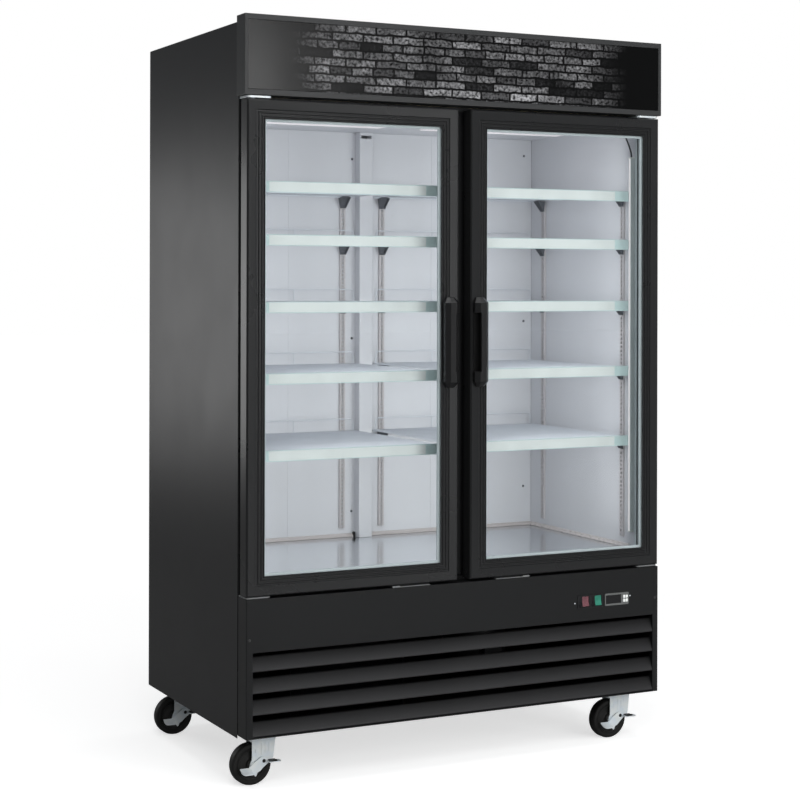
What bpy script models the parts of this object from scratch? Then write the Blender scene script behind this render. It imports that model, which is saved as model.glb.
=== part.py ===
"""Two-door glass merchandiser refrigerator on casters.

Metres, +Z up. The origin is on the floor under the middle of the cabinet's box, the
doors face -Y and +X is to the right of someone standing in front of them.
"""

import math

import bmesh
import bpy
from mathutils import Matrix, Vector

# ---- driving dimensions -------------------------------------------------------------
WIDTH = 1.350  # across the header, the widest piece
HEIGHT = 2.100  # floor to the header's top
DEPTH = 0.822  # front of the handles to the back of the case
HANDLE_PROUD = 0.025

CASE_WIDTH = 1.336
CASE_TOP = 2.086
CASE_BOTTOM = 0.140
SHEET = 0.001  # thickness of the case and liner sheets
GAP = 0.0003  # clearance between pieces that touch
FLOOR_SHEET = 0.0015

# Depths, each measured back from the plane of the door faces.
FRONT_BOX = 0.060  # how far the header, doors and lower panel stand out of the case
CASE_EDGE = 0.062
FRAME_BACK = 0.072
MULLION_BACK = 0.084
REAR_WALL = 0.681
LINER_BACK = 0.746

# Heights.
HEADER_BOTTOM = 1.882
DOOR_TOP = 1.872
DOOR_BOTTOM = 0.530
PANEL_TOP = 0.524
PANEL_BOTTOM = 0.148
CEILING = 1.853
FLOOR = 0.570
FOAM_TOP = 1.925
FOAM_BOTTOM = 0.5265
DECK = 0.152  # top of the base pan

# Doors.
INNER_HALF = 0.630  # from the middle to each side wall of the cold space
MULLION_HALF = 0.046
DOOR_GAP_HALF = 0.020
DOOR_OUTER = 0.667
DOOR_THICK = 0.046
DOOR_FRAME_WIDTH = 0.054
GLASS_INSET = 0.046
GLASS_FRONT = 0.0085
GLASS_BACK = 0.0245
HINGE_INSET = 0.019  # hinge axis from the door's outer edge
HINGE_DEPTH = 0.022  # and back from the door's face
PIN_RADIUS = 0.005
PIN_REACH = 0.012
BORE_RADIUS = 0.0054

# Handles.
HANDLE_LOW = 1.080
HANDLE_HIGH = 1.336
HANDLE_WIDTH = 0.044
HANDLE_EDGE = 0.006  # from the door's inner edge

# Shelves: middle height of each price strip.
SHELF_LEVELS = (0.8955, 1.1075, 1.305, 1.491, 1.638)
STRIP_HEIGHT = 0.031
STRIP_THICK = 0.003
SHELF_FRONT = 0.086
SHELF_BACK = 0.664
SHELF_INNER = 0.030
SHELF_OUTER = 0.622
SHELF_DECK = 0.0015
SHELF_FENCE = 0.010

# Lamps on the side jambs.
LAMP_BOTTOM = 0.620
LAMP_TOP = 1.760
LAMP_LEAD_DEPTH = 0.0785
LEAD_RADIUS = 0.0025

# Louvres of the lower panel.
LOUVRE_COUNT = 4
LOUVRE_PITCH = 0.0585
LOUVRE_LOWEST = 0.152
LOUVRE_HEIGHT = 0.040
LOUVRE_DEPTH = 0.018
LOUVRE_HALF = 0.648
LOUVRE_TOP = 0.380

# Controls on the lower panel.
CONTROL_Z = 0.437
SWITCH_MIDDLE = 0.425
SWITCH_SPACING = 0.044
ROCKER_SIZE = (0.034, 0.029)
ROCKER_TILT = math.radians(8)
CONTROLLER_X = (0.476, 0.560)
BUTTON_SIZE = (0.0075, 0.009)
BUTTON_PITCH = (0.009, 0.0115)
BUTTON_MIDDLE = 0.548

# Casters.
WHEEL_RADIUS = 0.0575
WHEEL_HALF = 0.016
CASTER_X = 0.583
CASTER_TRAIL = 0.032
CASTER_DEPTHS = (0.100, 0.722)
AXLE_RADIUS = 0.005

FACE = -DEPTH / 2 + HANDLE_PROUD  # world Y of the door faces
CASE_HALF = CASE_WIDTH / 2
CASE_BACK = DEPTH / 2


def at(depth):
    """World Y of a plane that lies this far behind the door faces."""
    return FACE + depth


# ---- materials ----------------------------------------------------------------------
def finish(name, colour, roughness, metallic=0.0, alpha=1.0):
    material = bpy.data.materials.new(name)
    material.use_nodes = True
    shader = material.node_tree.nodes["Principled BSDF"]
    shader.inputs["Base Color"].default_value = (*colour, 1.0)
    shader.inputs["Roughness"].default_value = roughness
    shader.inputs["Metallic"].default_value = metallic
    shader.inputs["Alpha"].default_value = alpha
    material.diffuse_color = (*colour, alpha)
    return material


def make_finishes():
    return {
        "black_steel": finish("black_steel", (0.030, 0.031, 0.034), 0.45),
        "black_frame": finish("black_frame", (0.035, 0.036, 0.037), 0.40),
        "header_trim": finish("header_trim", (0.110, 0.112, 0.115), 0.40),
        "sign": finish("sign", (0.012, 0.012, 0.013), 0.30),
        "liner": finish("liner", (0.55, 0.58, 0.63), 0.35),
        "stainless": finish("stainless", (0.62, 0.63, 0.65), 0.25, 1.0),
        "zinc": finish("zinc", (0.72, 0.76, 0.78), 0.30, 1.0),
        "glass": finish("glass", (0.90, 0.95, 0.95), 0.03, 0.0, 0.2),
        "gasket": finish("gasket", (0.030, 0.030, 0.031), 0.70),
        "white_wire": finish("white_wire", (0.80, 0.86, 0.87), 0.35),
        "foam": finish("foam", (0.85, 0.78, 0.55), 0.90),
        "black_plastic": finish("black_plastic", (0.020, 0.021, 0.022), 0.45),
        "red_lens": finish("red_lens", (0.60, 0.02, 0.02), 0.30),
        "green_lens": finish("green_lens", (0.02, 0.45, 0.10), 0.30),
        "white_button": finish("white_button", (0.80, 0.82, 0.82), 0.40),
        "rubber": finish("rubber", (0.015, 0.015, 0.014), 0.60),
        "aluminium": finish("aluminium", (0.70, 0.71, 0.72), 0.40, 1.0),
        "lamp": finish("lamp", (0.90, 0.92, 0.95), 0.30),
    }


# ---- mesh helpers -------------------------------------------------------------------
def add_box(bm, low, high):
    size = [b - a for a, b in zip(low, high)]
    middle = [(a + b) / 2 for a, b in zip(low, high)]
    matrix = Matrix.Translation(middle) @ Matrix.Diagonal((*size, 1.0))
    bmesh.ops.create_cube(bm, size=1.0, matrix=matrix)


def add_prism(bm, outline, axis, start, end):
    """Extrude a closed outline of 2-D points along X, Y or Z."""

    def lift(point, along):
        u, v = point
        return {"X": (along, u, v), "Y": (u, along, v), "Z": (u, v, along)}[axis]

    face = bm.faces.new([bm.verts.new(lift(point, start)) for point in outline])
    grown = bmesh.ops.extrude_face_region(bm, geom=[face])["geom"]
    moved = [item for item in grown if isinstance(item, bmesh.types.BMVert)]
    step = Vector(lift((0, 0), end)) - Vector(lift((0, 0), start))
    bmesh.ops.translate(bm, verts=moved, vec=step)


def add_turned(bm, profile, centre, axis="Y", segments=24, closed=False):
    """Spin (radius, along) points about an axis through centre."""
    turn = {"X": Matrix.Rotation(math.pi / 2, 3, "Y"), "Y": Matrix.Rotation(-math.pi / 2, 3, "X")}
    turn["Z"] = Matrix.Identity(3)
    spin_axis = turn[axis] @ Vector((0, 0, 1))
    points = [turn[axis] @ Vector((radius, 0, along)) + Vector(centre) for radius, along in profile]
    verts = [bm.verts.new(point) for point in points]
    pairs = list(zip(verts, verts[1:]))
    if closed:
        pairs.append((verts[-1], verts[0]))
    edges = [bm.edges.new(pair) for pair in pairs]
    bmesh.ops.spin(
        bm,
        geom=verts + edges,
        cent=centre,
        axis=spin_axis,
        angle=2 * math.pi,
        steps=segments,
        use_merge=True,
        use_normal_flip=False,
    )
    bmesh.ops.remove_doubles(bm, verts=bm.verts, dist=1e-6)


def add_mitred_frame(bm, x_range, z_range, profile):
    """Run an (inset, world y) profile round a rectangle, mitred at its corners."""
    rings = []
    for x_side, z_side in ((0, 0), (1, 0), (1, 1), (0, 1)):
        ring = []
        for inset, y in profile:
            x = x_range[x_side] + (inset if x_side == 0 else -inset)
            z = z_range[z_side] + (inset if z_side == 0 else -inset)
            ring.append(bm.verts.new((x, y, z)))
        rings.append(ring)
    count = len(profile)
    for i, ring in enumerate(rings):
        following = rings[(i + 1) % 4]
        for j in range(count):
            k = (j + 1) % count
            bm.faces.new((ring[j], ring[k], following[k], following[j]))


def object_from(name, bm, material=None, smooth=False):
    bmesh.ops.recalc_face_normals(bm, faces=bm.faces)
    mesh = bpy.data.meshes.new(name)
    bm.to_mesh(mesh)
    bm.free()
    if smooth:
        mesh.shade_smooth()
        mesh.set_sharp_from_angle(angle=math.radians(35))
    if material:
        mesh.materials.append(material)
    obj = bpy.data.objects.new(name, mesh)
    bpy.context.scene.collection.objects.link(obj)
    return obj


def box(name, low, high, material):
    bm = bmesh.new()
    add_box(bm, low, high)
    return object_from(name, bm, material)


def helper(name, build):
    """A hidden solid that a Boolean modifier cuts away or joins on."""
    bm = bmesh.new()
    build(bm)
    obj = object_from(name, bm)
    obj.hide_render = True
    obj.display_type = "WIRE"
    return obj


def boolean(obj, other, operation):
    modifier = obj.modifiers.new(other.name, "BOOLEAN")
    modifier.object = other
    modifier.operation = operation
    modifier.solver = "EXACT"


def cut(obj, name, build):
    boolean(obj, helper(name, build), "DIFFERENCE")


def join(obj, name, build):
    boolean(obj, helper(name, build), "UNION")


def soften(obj, width, segments=1):
    modifier = obj.modifiers.new("soft_edges", "BEVEL")
    modifier.width = width
    modifier.segments = segments
    modifier.limit_method = "ANGLE"
    modifier.angle_limit = math.radians(40)


def empty_at(name, place):
    obj = bpy.data.objects.new(name, None)
    obj.empty_display_size = 0.05
    obj.location = place
    bpy.context.scene.collection.objects.link(obj)
    return obj


def origin_to(obj, place):
    """Put an object's origin on a point without moving its shape."""
    obj.data.transform(Matrix.Translation(-Vector(place)))
    obj.location = place


def hang_on(child, parent):
    """Parent a piece to an unturned one, which is placed in the world, and keep its place."""
    child.parent = parent
    child.location = Vector(child.location) - Vector(parent.location)


# ---- cabinet ------------------------------------------------------------------------
def make_cabinet(look):
    case = box(
        "outer_case",
        (-CASE_HALF, at(CASE_EDGE), CASE_BOTTOM),
        (CASE_HALF, CASE_BACK, CASE_TOP),
        look["black_steel"],
    )
    cut(
        case,
        "case_hollow",
        lambda bm: add_box(
            bm,
            (-CASE_HALF + SHEET, at(0), 0.0),
            (CASE_HALF - SHEET, CASE_BACK - SHEET, CASE_TOP - SHEET),
        ),
    )
    vent_height = 0.012
    vent_pitch = 0.030

    def rear_vents(bm):
        for row in range(6):
            low = 0.200 + row * vent_pitch
            add_box(bm, (-0.45, CASE_BACK - 0.01, low), (0.45, CASE_BACK + 0.01, low + vent_height))

    cut(case, "case_rear_vents", rear_vents)

    liner_half = INNER_HALF + SHEET
    foam_half = CASE_HALF - SHEET - GAP
    foam = box(
        "insulation",
        (-foam_half, at(FRAME_BACK) + GAP, FOAM_BOTTOM),
        (foam_half, CASE_BACK - SHEET - GAP, FOAM_TOP),
        look["foam"],
    )
    cut(
        foam,
        "foam_hollow",
        lambda bm: add_box(
            bm,
            (-liner_half - GAP, at(0), FLOOR - FLOOR_SHEET - GAP),
            (liner_half + GAP, at(LINER_BACK) + SHEET + GAP, CEILING + SHEET + GAP),
        ),
    )

    liner = box(
        "inner_liner",
        (-liner_half, at(FRAME_BACK) + GAP, FLOOR + GAP),
        (liner_half, at(LINER_BACK) + SHEET, CEILING + SHEET),
        look["liner"],
    )
    cut(
        liner,
        "liner_hollow",
        lambda bm: add_box(bm, (-INNER_HALF, at(0), 0.0), (INNER_HALF, at(LINER_BACK), CEILING)),
    )

    box(
        "floor_plate",
        (-liner_half, at(FRAME_BACK) + GAP, FLOOR - FLOOR_SHEET),
        (liner_half, at(LINER_BACK) + SHEET, FLOOR),
        look["stainless"],
    )

    make_rear_wall(look)
    make_front_frame(look)
    make_base(look)


def make_rear_wall(look):
    """Duct cover across the back of the cold space, with its raised middle channel."""
    side = INNER_HALF - 0.001
    low = FLOOR + 2 * GAP
    high = CEILING - GAP
    wall = box(
        "rear_duct_cover", (-side, at(REAR_WALL), low), (side, at(REAR_WALL) + 0.002, high), look["liner"]
    )
    rise = 0.034
    half = 0.023
    join(
        wall,
        "duct_channel",
        lambda bm: add_box(
            bm, (-half, at(REAR_WALL) - rise, low + 0.02), (half, at(REAR_WALL) + 0.001, high - 0.004)
        ),
    )

    def air_slot(bm):
        front, back = at(REAR_WALL) - 0.05, at(REAR_WALL) + 0.01
        add_box(bm, (-0.018, front, high - 0.020), (0.018, back, high - 0.010))

    cut(wall, "duct_slot", air_slot)


def make_front_frame(look):
    """Breaker frame that the door gaskets close on, with the middle mullion."""
    half = CASE_HALF - SHEET - GAP
    frame = box(
        "front_frame",
        (-half, at(FRONT_BOX), PANEL_TOP - 0.001),
        (half, at(FRAME_BACK), HEADER_BOTTOM - GAP),
        look["black_frame"],
    )

    def openings(bm):
        for left, right in ((-INNER_HALF, -MULLION_HALF), (MULLION_HALF, INNER_HALF)):
            add_box(bm, (left, at(0), 0.562), (right, at(0.1), 1.843))

    cut(frame, "frame_openings", openings)
    join(
        frame,
        "mullion_post",
        lambda bm: add_box(
            bm,
            (-0.040, at(FRAME_BACK) - 0.002, FLOOR + 0.001),
            (0.040, at(MULLION_BACK), CEILING - 0.001),
        ),
    )
    rib = 0.015
    join(
        frame,
        "mullion_rib",
        lambda bm: add_box(
            bm,
            (-rib, at(DOOR_THICK) + 0.004, DOOR_BOTTOM + 0.01),
            (rib, at(FRONT_BOX) + 0.002, DOOR_TOP - 0.01),
        ),
    )


def make_base(look):
    """Base pan with turned-up edges and the four pads that the casters bolt to."""
    half = CASE_HALF - SHEET - GAP
    front = at(CASE_EDGE) + GAP
    back = CASE_BACK - SHEET - GAP
    thick = 0.003
    base = box("base_frame", (-half, front, DECK - thick), (half, back, DECK + 0.028), look["black_steel"])
    cut(
        base,
        "base_tray",
        lambda bm: add_box(
            bm, (-half + thick, front + thick, DECK), (half - thick, back - thick, DECK + 0.05)
        ),
    )

    def pads(bm):
        for x in (-CASTER_X, CASTER_X):
            for depth in CASTER_DEPTHS:
                near = max(at(depth) - 0.045, front)
                add_box(bm, (x - 0.050, near, 0.1456), (x + 0.050, at(depth) + 0.045, DECK - 0.001))

    join(base, "caster_pads", pads)


# ---- header and lower panel ---------------------------------------------------------
def make_header(look):
    half = WIDTH / 2
    side = 0.0105
    sign_low = 1.898
    sign_high = 2.085
    housing = box(
        "header_housing", (-half, at(0), HEADER_BOTTOM), (half, at(FRONT_BOX), HEIGHT), look["header_trim"]
    )
    cut(
        housing,
        "header_hollow",
        lambda bm: add_box(
            bm, (-half + side, at(-0.01), sign_low), (half - side, at(FRONT_BOX) - 0.0015, sign_high)
        ),
    )
    box(
        "header_panel",
        (-half + side + GAP, at(0.003), sign_low + GAP),
        (half - side - GAP, at(0.006), sign_high - GAP),
        look["sign"],
    )


def louvre_gaps(bm):
    """Air gaps between the slats: every slat leans out from its top edge to its lower lip."""
    lip = 0.003
    thick = 0.002
    front = at(-0.001)
    back = at(LOUVRE_DEPTH + 0.001)
    tops = [LOUVRE_LOWEST + LOUVRE_HEIGHT + row * LOUVRE_PITCH for row in range(LOUVRE_COUNT)]
    for row, top in enumerate(tops):
        lowest = top - LOUVRE_HEIGHT
        over = [(front, lowest + lip), (at(LOUVRE_DEPTH - 0.003), top), (back, top)]
        if row + 1 < LOUVRE_COUNT:
            next_low = tops[row + 1] - LOUVRE_HEIGHT
            under = [
                (back, tops[row + 1] - 2 * thick),
                (at(LOUVRE_DEPTH - 0.001), tops[row + 1] - 2 * thick),
                (at(2 * thick), next_low),
                (front, next_low),
            ]
        else:
            under = [(back, LOUVRE_TOP), (front, LOUVRE_TOP)]
        add_prism(bm, over + under, "X", -LOUVRE_HALF, LOUVRE_HALF)


def make_lower_panel(look):
    half = DOOR_OUTER
    wall = 0.002
    panel = box(
        "lower_panel", (-half, at(0), PANEL_BOTTOM), (half, at(FRONT_BOX), PANEL_TOP), look["black_steel"]
    )

    inside = half - wall
    beyond = at(FRONT_BOX + 0.01)
    split = LOUVRE_TOP + 0.006
    cut(
        panel,
        "panel_hollow_upper",
        lambda bm: add_box(bm, (-inside, at(wall), split), (inside, beyond, PANEL_TOP - wall)),
    )
    cut(
        panel,
        "panel_hollow_lower",
        lambda bm: add_box(
            bm, (-inside, at(LOUVRE_DEPTH), PANEL_BOTTOM + wall), (inside, beyond, split + 0.001)
        ),
    )
    cut(panel, "panel_louvres", louvre_gaps)

    def control_holes(bm):
        width, height = SWITCH_SPACING + ROCKER_SIZE[0], ROCKER_SIZE[1]
        x, z = width / 2 + 0.0035, height / 2 + 0.0035
        add_box(
            bm,
            (SWITCH_MIDDLE - x, at(-0.01), CONTROL_Z - z),
            (SWITCH_MIDDLE + x, at(0.01), CONTROL_Z + z),
        )
        add_box(
            bm,
            (CONTROLLER_X[0] + 0.003, at(-0.01), CONTROL_Z - 0.015),
            (CONTROLLER_X[1] - 0.003, at(0.01), CONTROL_Z + 0.015),
        )

    cut(panel, "panel_control_holes", control_holes)


# ---- controls -----------------------------------------------------------------------
def make_switches(look):
    flange_y = (at(-0.002), at(0) - GAP)
    x_half = (SWITCH_SPACING + ROCKER_SIZE[0]) / 2 + 0.005
    z_half = ROCKER_SIZE[1] / 2 + 0.005
    bezel = box(
        "switch_bezel",
        (SWITCH_MIDDLE - x_half, flange_y[0], CONTROL_Z - z_half),
        (SWITCH_MIDDLE + x_half, flange_y[1], CONTROL_Z + z_half),
        look["black_plastic"],
    )
    shrink = 0.0015 + GAP
    join(
        bezel,
        "switch_body",
        lambda bm: add_box(
            bm,
            (SWITCH_MIDDLE - x_half + shrink, flange_y[0] + 0.001, CONTROL_Z - z_half + shrink),
            (SWITCH_MIDDLE + x_half - shrink, at(0.018), CONTROL_Z + z_half - shrink),
        ),
    )
    clear = 0.0009
    centres = [SWITCH_MIDDLE - SWITCH_SPACING / 2, SWITCH_MIDDLE + SWITCH_SPACING / 2]

    def rocker_wells(bm):
        for x in centres:
            add_box(
                bm,
                (x - ROCKER_SIZE[0] / 2 - GAP, at(-0.01), CONTROL_Z - ROCKER_SIZE[1] / 2 - clear),
                (x + ROCKER_SIZE[0] / 2 + GAP, at(0.03), CONTROL_Z + ROCKER_SIZE[1] / 2 + clear),
            )

    cut(bezel, "switch_wells", rocker_wells)

    pivot_depth = 0.004
    half = ROCKER_SIZE[1] / 2
    rise = half * math.tan(ROCKER_TILT)
    outline = [(-0.004, 0), (-0.004 - rise, half), (0.001, half), (0.006, 0.008)]
    outline += [(0.006, -0.008), (0.001, -half), (-0.004 - rise, -half)]
    for name, x, colour in zip(("rocker_red", "rocker_green"), centres, ("red_lens", "green_lens")):
        bm = bmesh.new()
        add_prism(bm, outline, "X", -ROCKER_SIZE[0] / 2, ROCKER_SIZE[0] / 2)
        bmesh.ops.rotate(bm, verts=bm.verts, matrix=Matrix.Rotation(-ROCKER_TILT, 3, "X"))
        rocker = object_from(name, bm, look[colour])
        rocker.location = (x, at(pivot_depth), CONTROL_Z)


def make_controller(look):
    left, right = CONTROLLER_X
    face = at(-0.0025)
    controller = box(
        "controller",
        (left, face, CONTROL_Z - 0.018),
        (right, at(0) - GAP, CONTROL_Z + 0.018),
        look["black_plastic"],
    )
    join(
        controller,
        "controller_body",
        lambda bm: add_box(
            bm,
            (left + 0.0035, face + 0.001, CONTROL_Z - 0.0145),
            (right - 0.0035, at(0.050), CONTROL_Z + 0.0145),
        ),
    )
    width, height = BUTTON_SIZE
    spots = []
    for row in (1, -1):
        for column in (-1, 1):
            x = BUTTON_MIDDLE + column * BUTTON_PITCH[0] / 2
            spots.append((x, CONTROL_Z + row * BUTTON_PITCH[1] / 2))

    def pockets(bm):
        for x, z in spots:
            add_box(
                bm,
                (x - width / 2 - GAP, at(-0.01), z - height / 2 - GAP),
                (x + width / 2 + GAP, at(0.0018), z + height / 2 + GAP),
            )
        window_half = 0.013
        add_box(
            bm,
            (left + 0.003, at(-0.01), CONTROL_Z - window_half),
            (left + 0.057, at(-0.0015), CONTROL_Z + window_half),
        )

    cut(controller, "controller_pockets", pockets)
    for number, (x, z) in enumerate(spots, start=1):
        button = box(
            f"controller_button_{number}",
            (x - width / 2, at(-0.0037), z - height / 2),
            (x + width / 2, at(0.0005), z + height / 2),
            look["white_button"],
        )
        origin_to(button, (x, at(-0.0037), z))


# ---- doors --------------------------------------------------------------------------
def door_profile():
    """(inset, y) round the door's section: outer face, three grooves, glass channel, back."""
    points = [(0.0, DOOR_THICK), (0.0, 0.005), (0.004, 0.0), (0.028, 0.0022)]
    points += [(0.0295, 0.0052), (0.0335, 0.0052), (0.0350, 0.0026), (0.0375, 0.0026)]
    points += [(0.0390, 0.0056), (0.0430, 0.0056), (0.0445, 0.0030), (0.0470, 0.0030)]
    points += [(0.0482, 0.0058), (0.0508, 0.0058), (0.0520, 0.0034), (DOOR_FRAME_WIDTH, 0.0034)]
    points += [(DOOR_FRAME_WIDTH, GLASS_FRONT), (GLASS_INSET, GLASS_FRONT), (GLASS_INSET, GLASS_BACK)]
    points += [(0.0520, GLASS_BACK), (0.0440, DOOR_THICK)]
    return [(inset, at(depth)) for inset, depth in points]


def gasket_profile():
    """The sealing face stays inward of the hinge axis, so it lifts off as the door starts to turn."""
    points = [(0.010, 0.0463), (0.010, 0.0520), (0.0195, 0.0597), (0.030, 0.0597), (0.034, 0.056)]
    points += [(0.034, 0.0463)]
    return [(inset, at(depth)) for inset, depth in points]


def make_door(look, side, name):
    """side is -1 for the left door and 1 for the right one; each hinges at its outer edge."""
    x_range = sorted((side * DOOR_GAP_HALF, side * DOOR_OUTER))
    z_range = (DOOR_BOTTOM, DOOR_TOP)
    axis_x = side * (DOOR_OUTER - HINGE_INSET)
    axis = empty_at(f"{name}_hinge_axis", (axis_x, at(HINGE_DEPTH), DOOR_BOTTOM))

    bm = bmesh.new()
    add_mitred_frame(bm, x_range, z_range, door_profile())
    frame = object_from(f"{name}_frame", bm, look["black_frame"])

    def pin_bores(bm):
        reach = PIN_REACH + 0.002
        for z, step in ((DOOR_BOTTOM - 0.001, 1), (DOOR_TOP + 0.001, -1)):
            ends = sorted((z, z + step * (reach + 0.001)))
            profile = [(0, ends[0]), (BORE_RADIUS, ends[0]), (BORE_RADIUS, ends[1]), (0, ends[1])]
            add_turned(bm, profile, (axis_x, at(HINGE_DEPTH), 0), "Z", 16)

    cut(frame, f"{name}_bores", pin_bores)

    inset = GLASS_INSET + GAP
    glass = box(
        f"{name}_glass",
        (x_range[0] + inset, at(GLASS_FRONT) + GAP, z_range[0] + inset),
        (x_range[1] - inset, at(GLASS_BACK) - GAP, z_range[1] - inset),
        look["glass"],
    )

    bm = bmesh.new()
    add_mitred_frame(bm, x_range, z_range, gasket_profile())
    gasket = object_from(f"{name}_gasket", bm, look["gasket"])

    handle = make_handle(look, side, name)
    bores = bpy.data.objects[f"{name}_bores"]
    notch = bpy.data.objects[f"{name}_handle_notch"]
    for piece in (frame, glass, gasket, handle, bores, notch):
        hang_on(piece, axis)


def make_handle(look, side, name):
    """Long grip with chamfered ends and a finger notch on the side towards the mullion."""
    near = side * (DOOR_GAP_HALF + HANDLE_EDGE)
    far = near + side * HANDLE_WIDTH
    chamfer = 0.012
    end_chamfer = 0.016
    base = at(0.0) - GAP
    front = at(-HANDLE_PROUD)
    bm = bmesh.new()
    low, high = HANDLE_LOW, HANDLE_HIGH
    rings = []
    for z, inset, depth in (
        (low, end_chamfer * 0.6, 0.008),
        (low + end_chamfer, 0.0, HANDLE_PROUD),
        (high - end_chamfer, 0.0, HANDLE_PROUD),
        (high, end_chamfer * 0.6, 0.008),
    ):
        left, right = sorted((near, far))
        left, right = left + inset, right - inset
        top = base - depth + GAP
        slope = min(chamfer, depth * 0.5)
        outline = [(left, base), (left, top + slope), (left + slope, top)]
        outline += [(right - slope, top), (right, top + slope), (right, base)]
        rings.append([bm.verts.new((x, y, z)) for x, y in outline])
    for lower, upper in zip(rings, rings[1:]):
        for i in range(6):
            j = (i + 1) % 6
            bm.faces.new((lower[i], lower[j], upper[j], upper[i]))
    bm.faces.new(rings[0])
    bm.faces.new(rings[-1])
    handle = object_from(f"{name}_handle", bm, look["black_plastic"])

    def notch(bm):
        outer = near - side * 0.01
        shallow = near + side * 0.015
        deep = near + side * 0.024
        left, right = sorted((outer, shallow))
        add_box(bm, (left, front - 0.01, low + 0.044), (right, base - 0.004, high - 0.044))
        left, right = sorted((outer, deep))
        add_box(bm, (left, front + 0.009, low + 0.044), (right, base - 0.004, high - 0.044))

    cut(handle, f"{name}_handle_notch", notch)
    handle.modifiers[-1].use_self = True
    return handle


def make_hinges(look, side, name):
    """Top and bottom hinge plates, each with the pin that the door turns on."""
    axis = (side * (DOOR_OUTER - HINGE_INSET), at(HINGE_DEPTH), 0)
    x_range = sorted((side * (CASE_HALF - 0.002), side * 0.594))
    for place, low, high, pin in (
        ("top", DOOR_TOP + 0.0025, HEADER_BOTTOM - 0.0015, (DOOR_TOP - PIN_REACH, DOOR_TOP + 0.004)),
        ("bottom", PANEL_TOP + 0.001, DOOR_BOTTOM - 0.001, (PANEL_TOP + 0.003, DOOR_BOTTOM + PIN_REACH)),
    ):
        plate = box(
            f"hinge_{name}_{place}",
            (x_range[0], at(0.004), low),
            (x_range[1], at(FRONT_BOX) - GAP, high),
            look["zinc"],
        )
        profile = [(0, pin[0]), (PIN_RADIUS, pin[0]), (PIN_RADIUS, pin[1]), (0, pin[1])]
        join(plate, f"hinge_{name}_{place}_pin", lambda bm, p=profile: add_turned(bm, p, axis, "Z", 16))


# ---- shelves and lamps --------------------------------------------------------------
def make_shelves(look):
    strip_back = SHELF_FRONT + STRIP_THICK
    top = STRIP_HEIGHT / 2
    deck = top - 0.004
    outline = [
        (at(SHELF_FRONT), -top),
        (at(strip_back), -top),
        (at(strip_back), deck - SHELF_DECK),
        (at(SHELF_BACK), deck - SHELF_DECK),
        (at(SHELF_BACK), deck + SHELF_FENCE),
        (at(SHELF_BACK - 0.003), deck + SHELF_FENCE),
        (at(SHELF_BACK - 0.003), deck),
        (at(strip_back), deck),
        (at(strip_back), top),
        (at(SHELF_FRONT), top),
    ]
    for side, name in ((-1, "left"), (1, "right")):
        ends = sorted((side * SHELF_INNER, side * SHELF_OUTER))
        for number, level in enumerate(SHELF_LEVELS, start=1):
            bm = bmesh.new()
            add_prism(bm, outline, "X", *ends)
            shelf = object_from(f"shelf_{name}_{number}", bm, look["white_wire"])
            shelf.location = (0, 0, level)


def make_lamps(look):
    for side, name in ((-1, "left"), (1, "right")):
        ends = sorted((side * 0.612, side * (INNER_HALF - GAP)))
        low = (ends[0], at(FRAME_BACK) + 2 * GAP, LAMP_BOTTOM)
        high = (ends[1], at(SHELF_FRONT - 0.0015), LAMP_TOP)
        box(f"lamp_{name}", low, high, look["lamp"])
    make_lamp_lead(look)


def make_lamp_lead(look):
    """Short black lead from the ceiling to the top of the right lamp, fixed at both ends."""
    curve = bpy.data.curves.new("lamp_lead", "CURVE")
    curve.dimensions = "3D"
    curve.bevel_depth = LEAD_RADIUS
    curve.bevel_resolution = 2
    curve.use_fill_caps = True
    top = CEILING - GAP
    foot = LAMP_TOP + GAP
    drop = top - foot
    start_x = 0.592
    end_x = 0.621
    points = 14
    spline = curve.splines.new("POLY")
    spline.points.add(points - 1)
    for number, point in enumerate(spline.points):
        share = number / (points - 1)
        sweep = share * share * (3 - 2 * share)
        x = start_x + (end_x - start_x) * sweep
        point.co = (x, at(LAMP_LEAD_DEPTH), top - drop * share, 1.0)
    curve.materials.append(look["black_plastic"])
    lead = bpy.data.objects.new("lamp_lead", curve)
    bpy.context.scene.collection.objects.link(lead)


# ---- refrigeration ------------------------------------------------------------------
def make_fan(name, centre, radius, hub_radius, half_depth, blades, material):
    """Axial fan that turns about Y."""
    bm = bmesh.new()
    d = half_depth
    add_turned(bm, [(0, -d), (hub_radius, -d), (hub_radius, d), (0, d)], (0, 0, 0), "Y", 20)
    fan = object_from(name, bm, material, smooth=True)

    def build_blades(bm):
        pitch = math.radians(28)
        half_width = hub_radius * 0.55
        for number in range(blades):
            blade = bmesh.new()
            add_box(blade, (-half_width, -0.001, hub_radius * 0.7), (half_width, 0.001, radius))
            turn = Matrix.Rotation(2 * math.pi * number / blades, 3, "Y") @ Matrix.Rotation(pitch, 3, "Z")
            bmesh.ops.rotate(blade, verts=blade.verts, matrix=turn)
            spare = bpy.data.meshes.new("blade")
            blade.to_mesh(spare)
            blade.free()
            bm.from_mesh(spare)
            bpy.data.meshes.remove(spare)

    join(fan, f"{name}_blades", build_blades)
    fan.location = centre
    wings = bpy.data.objects[f"{name}_blades"]
    wings.location = centre


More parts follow.
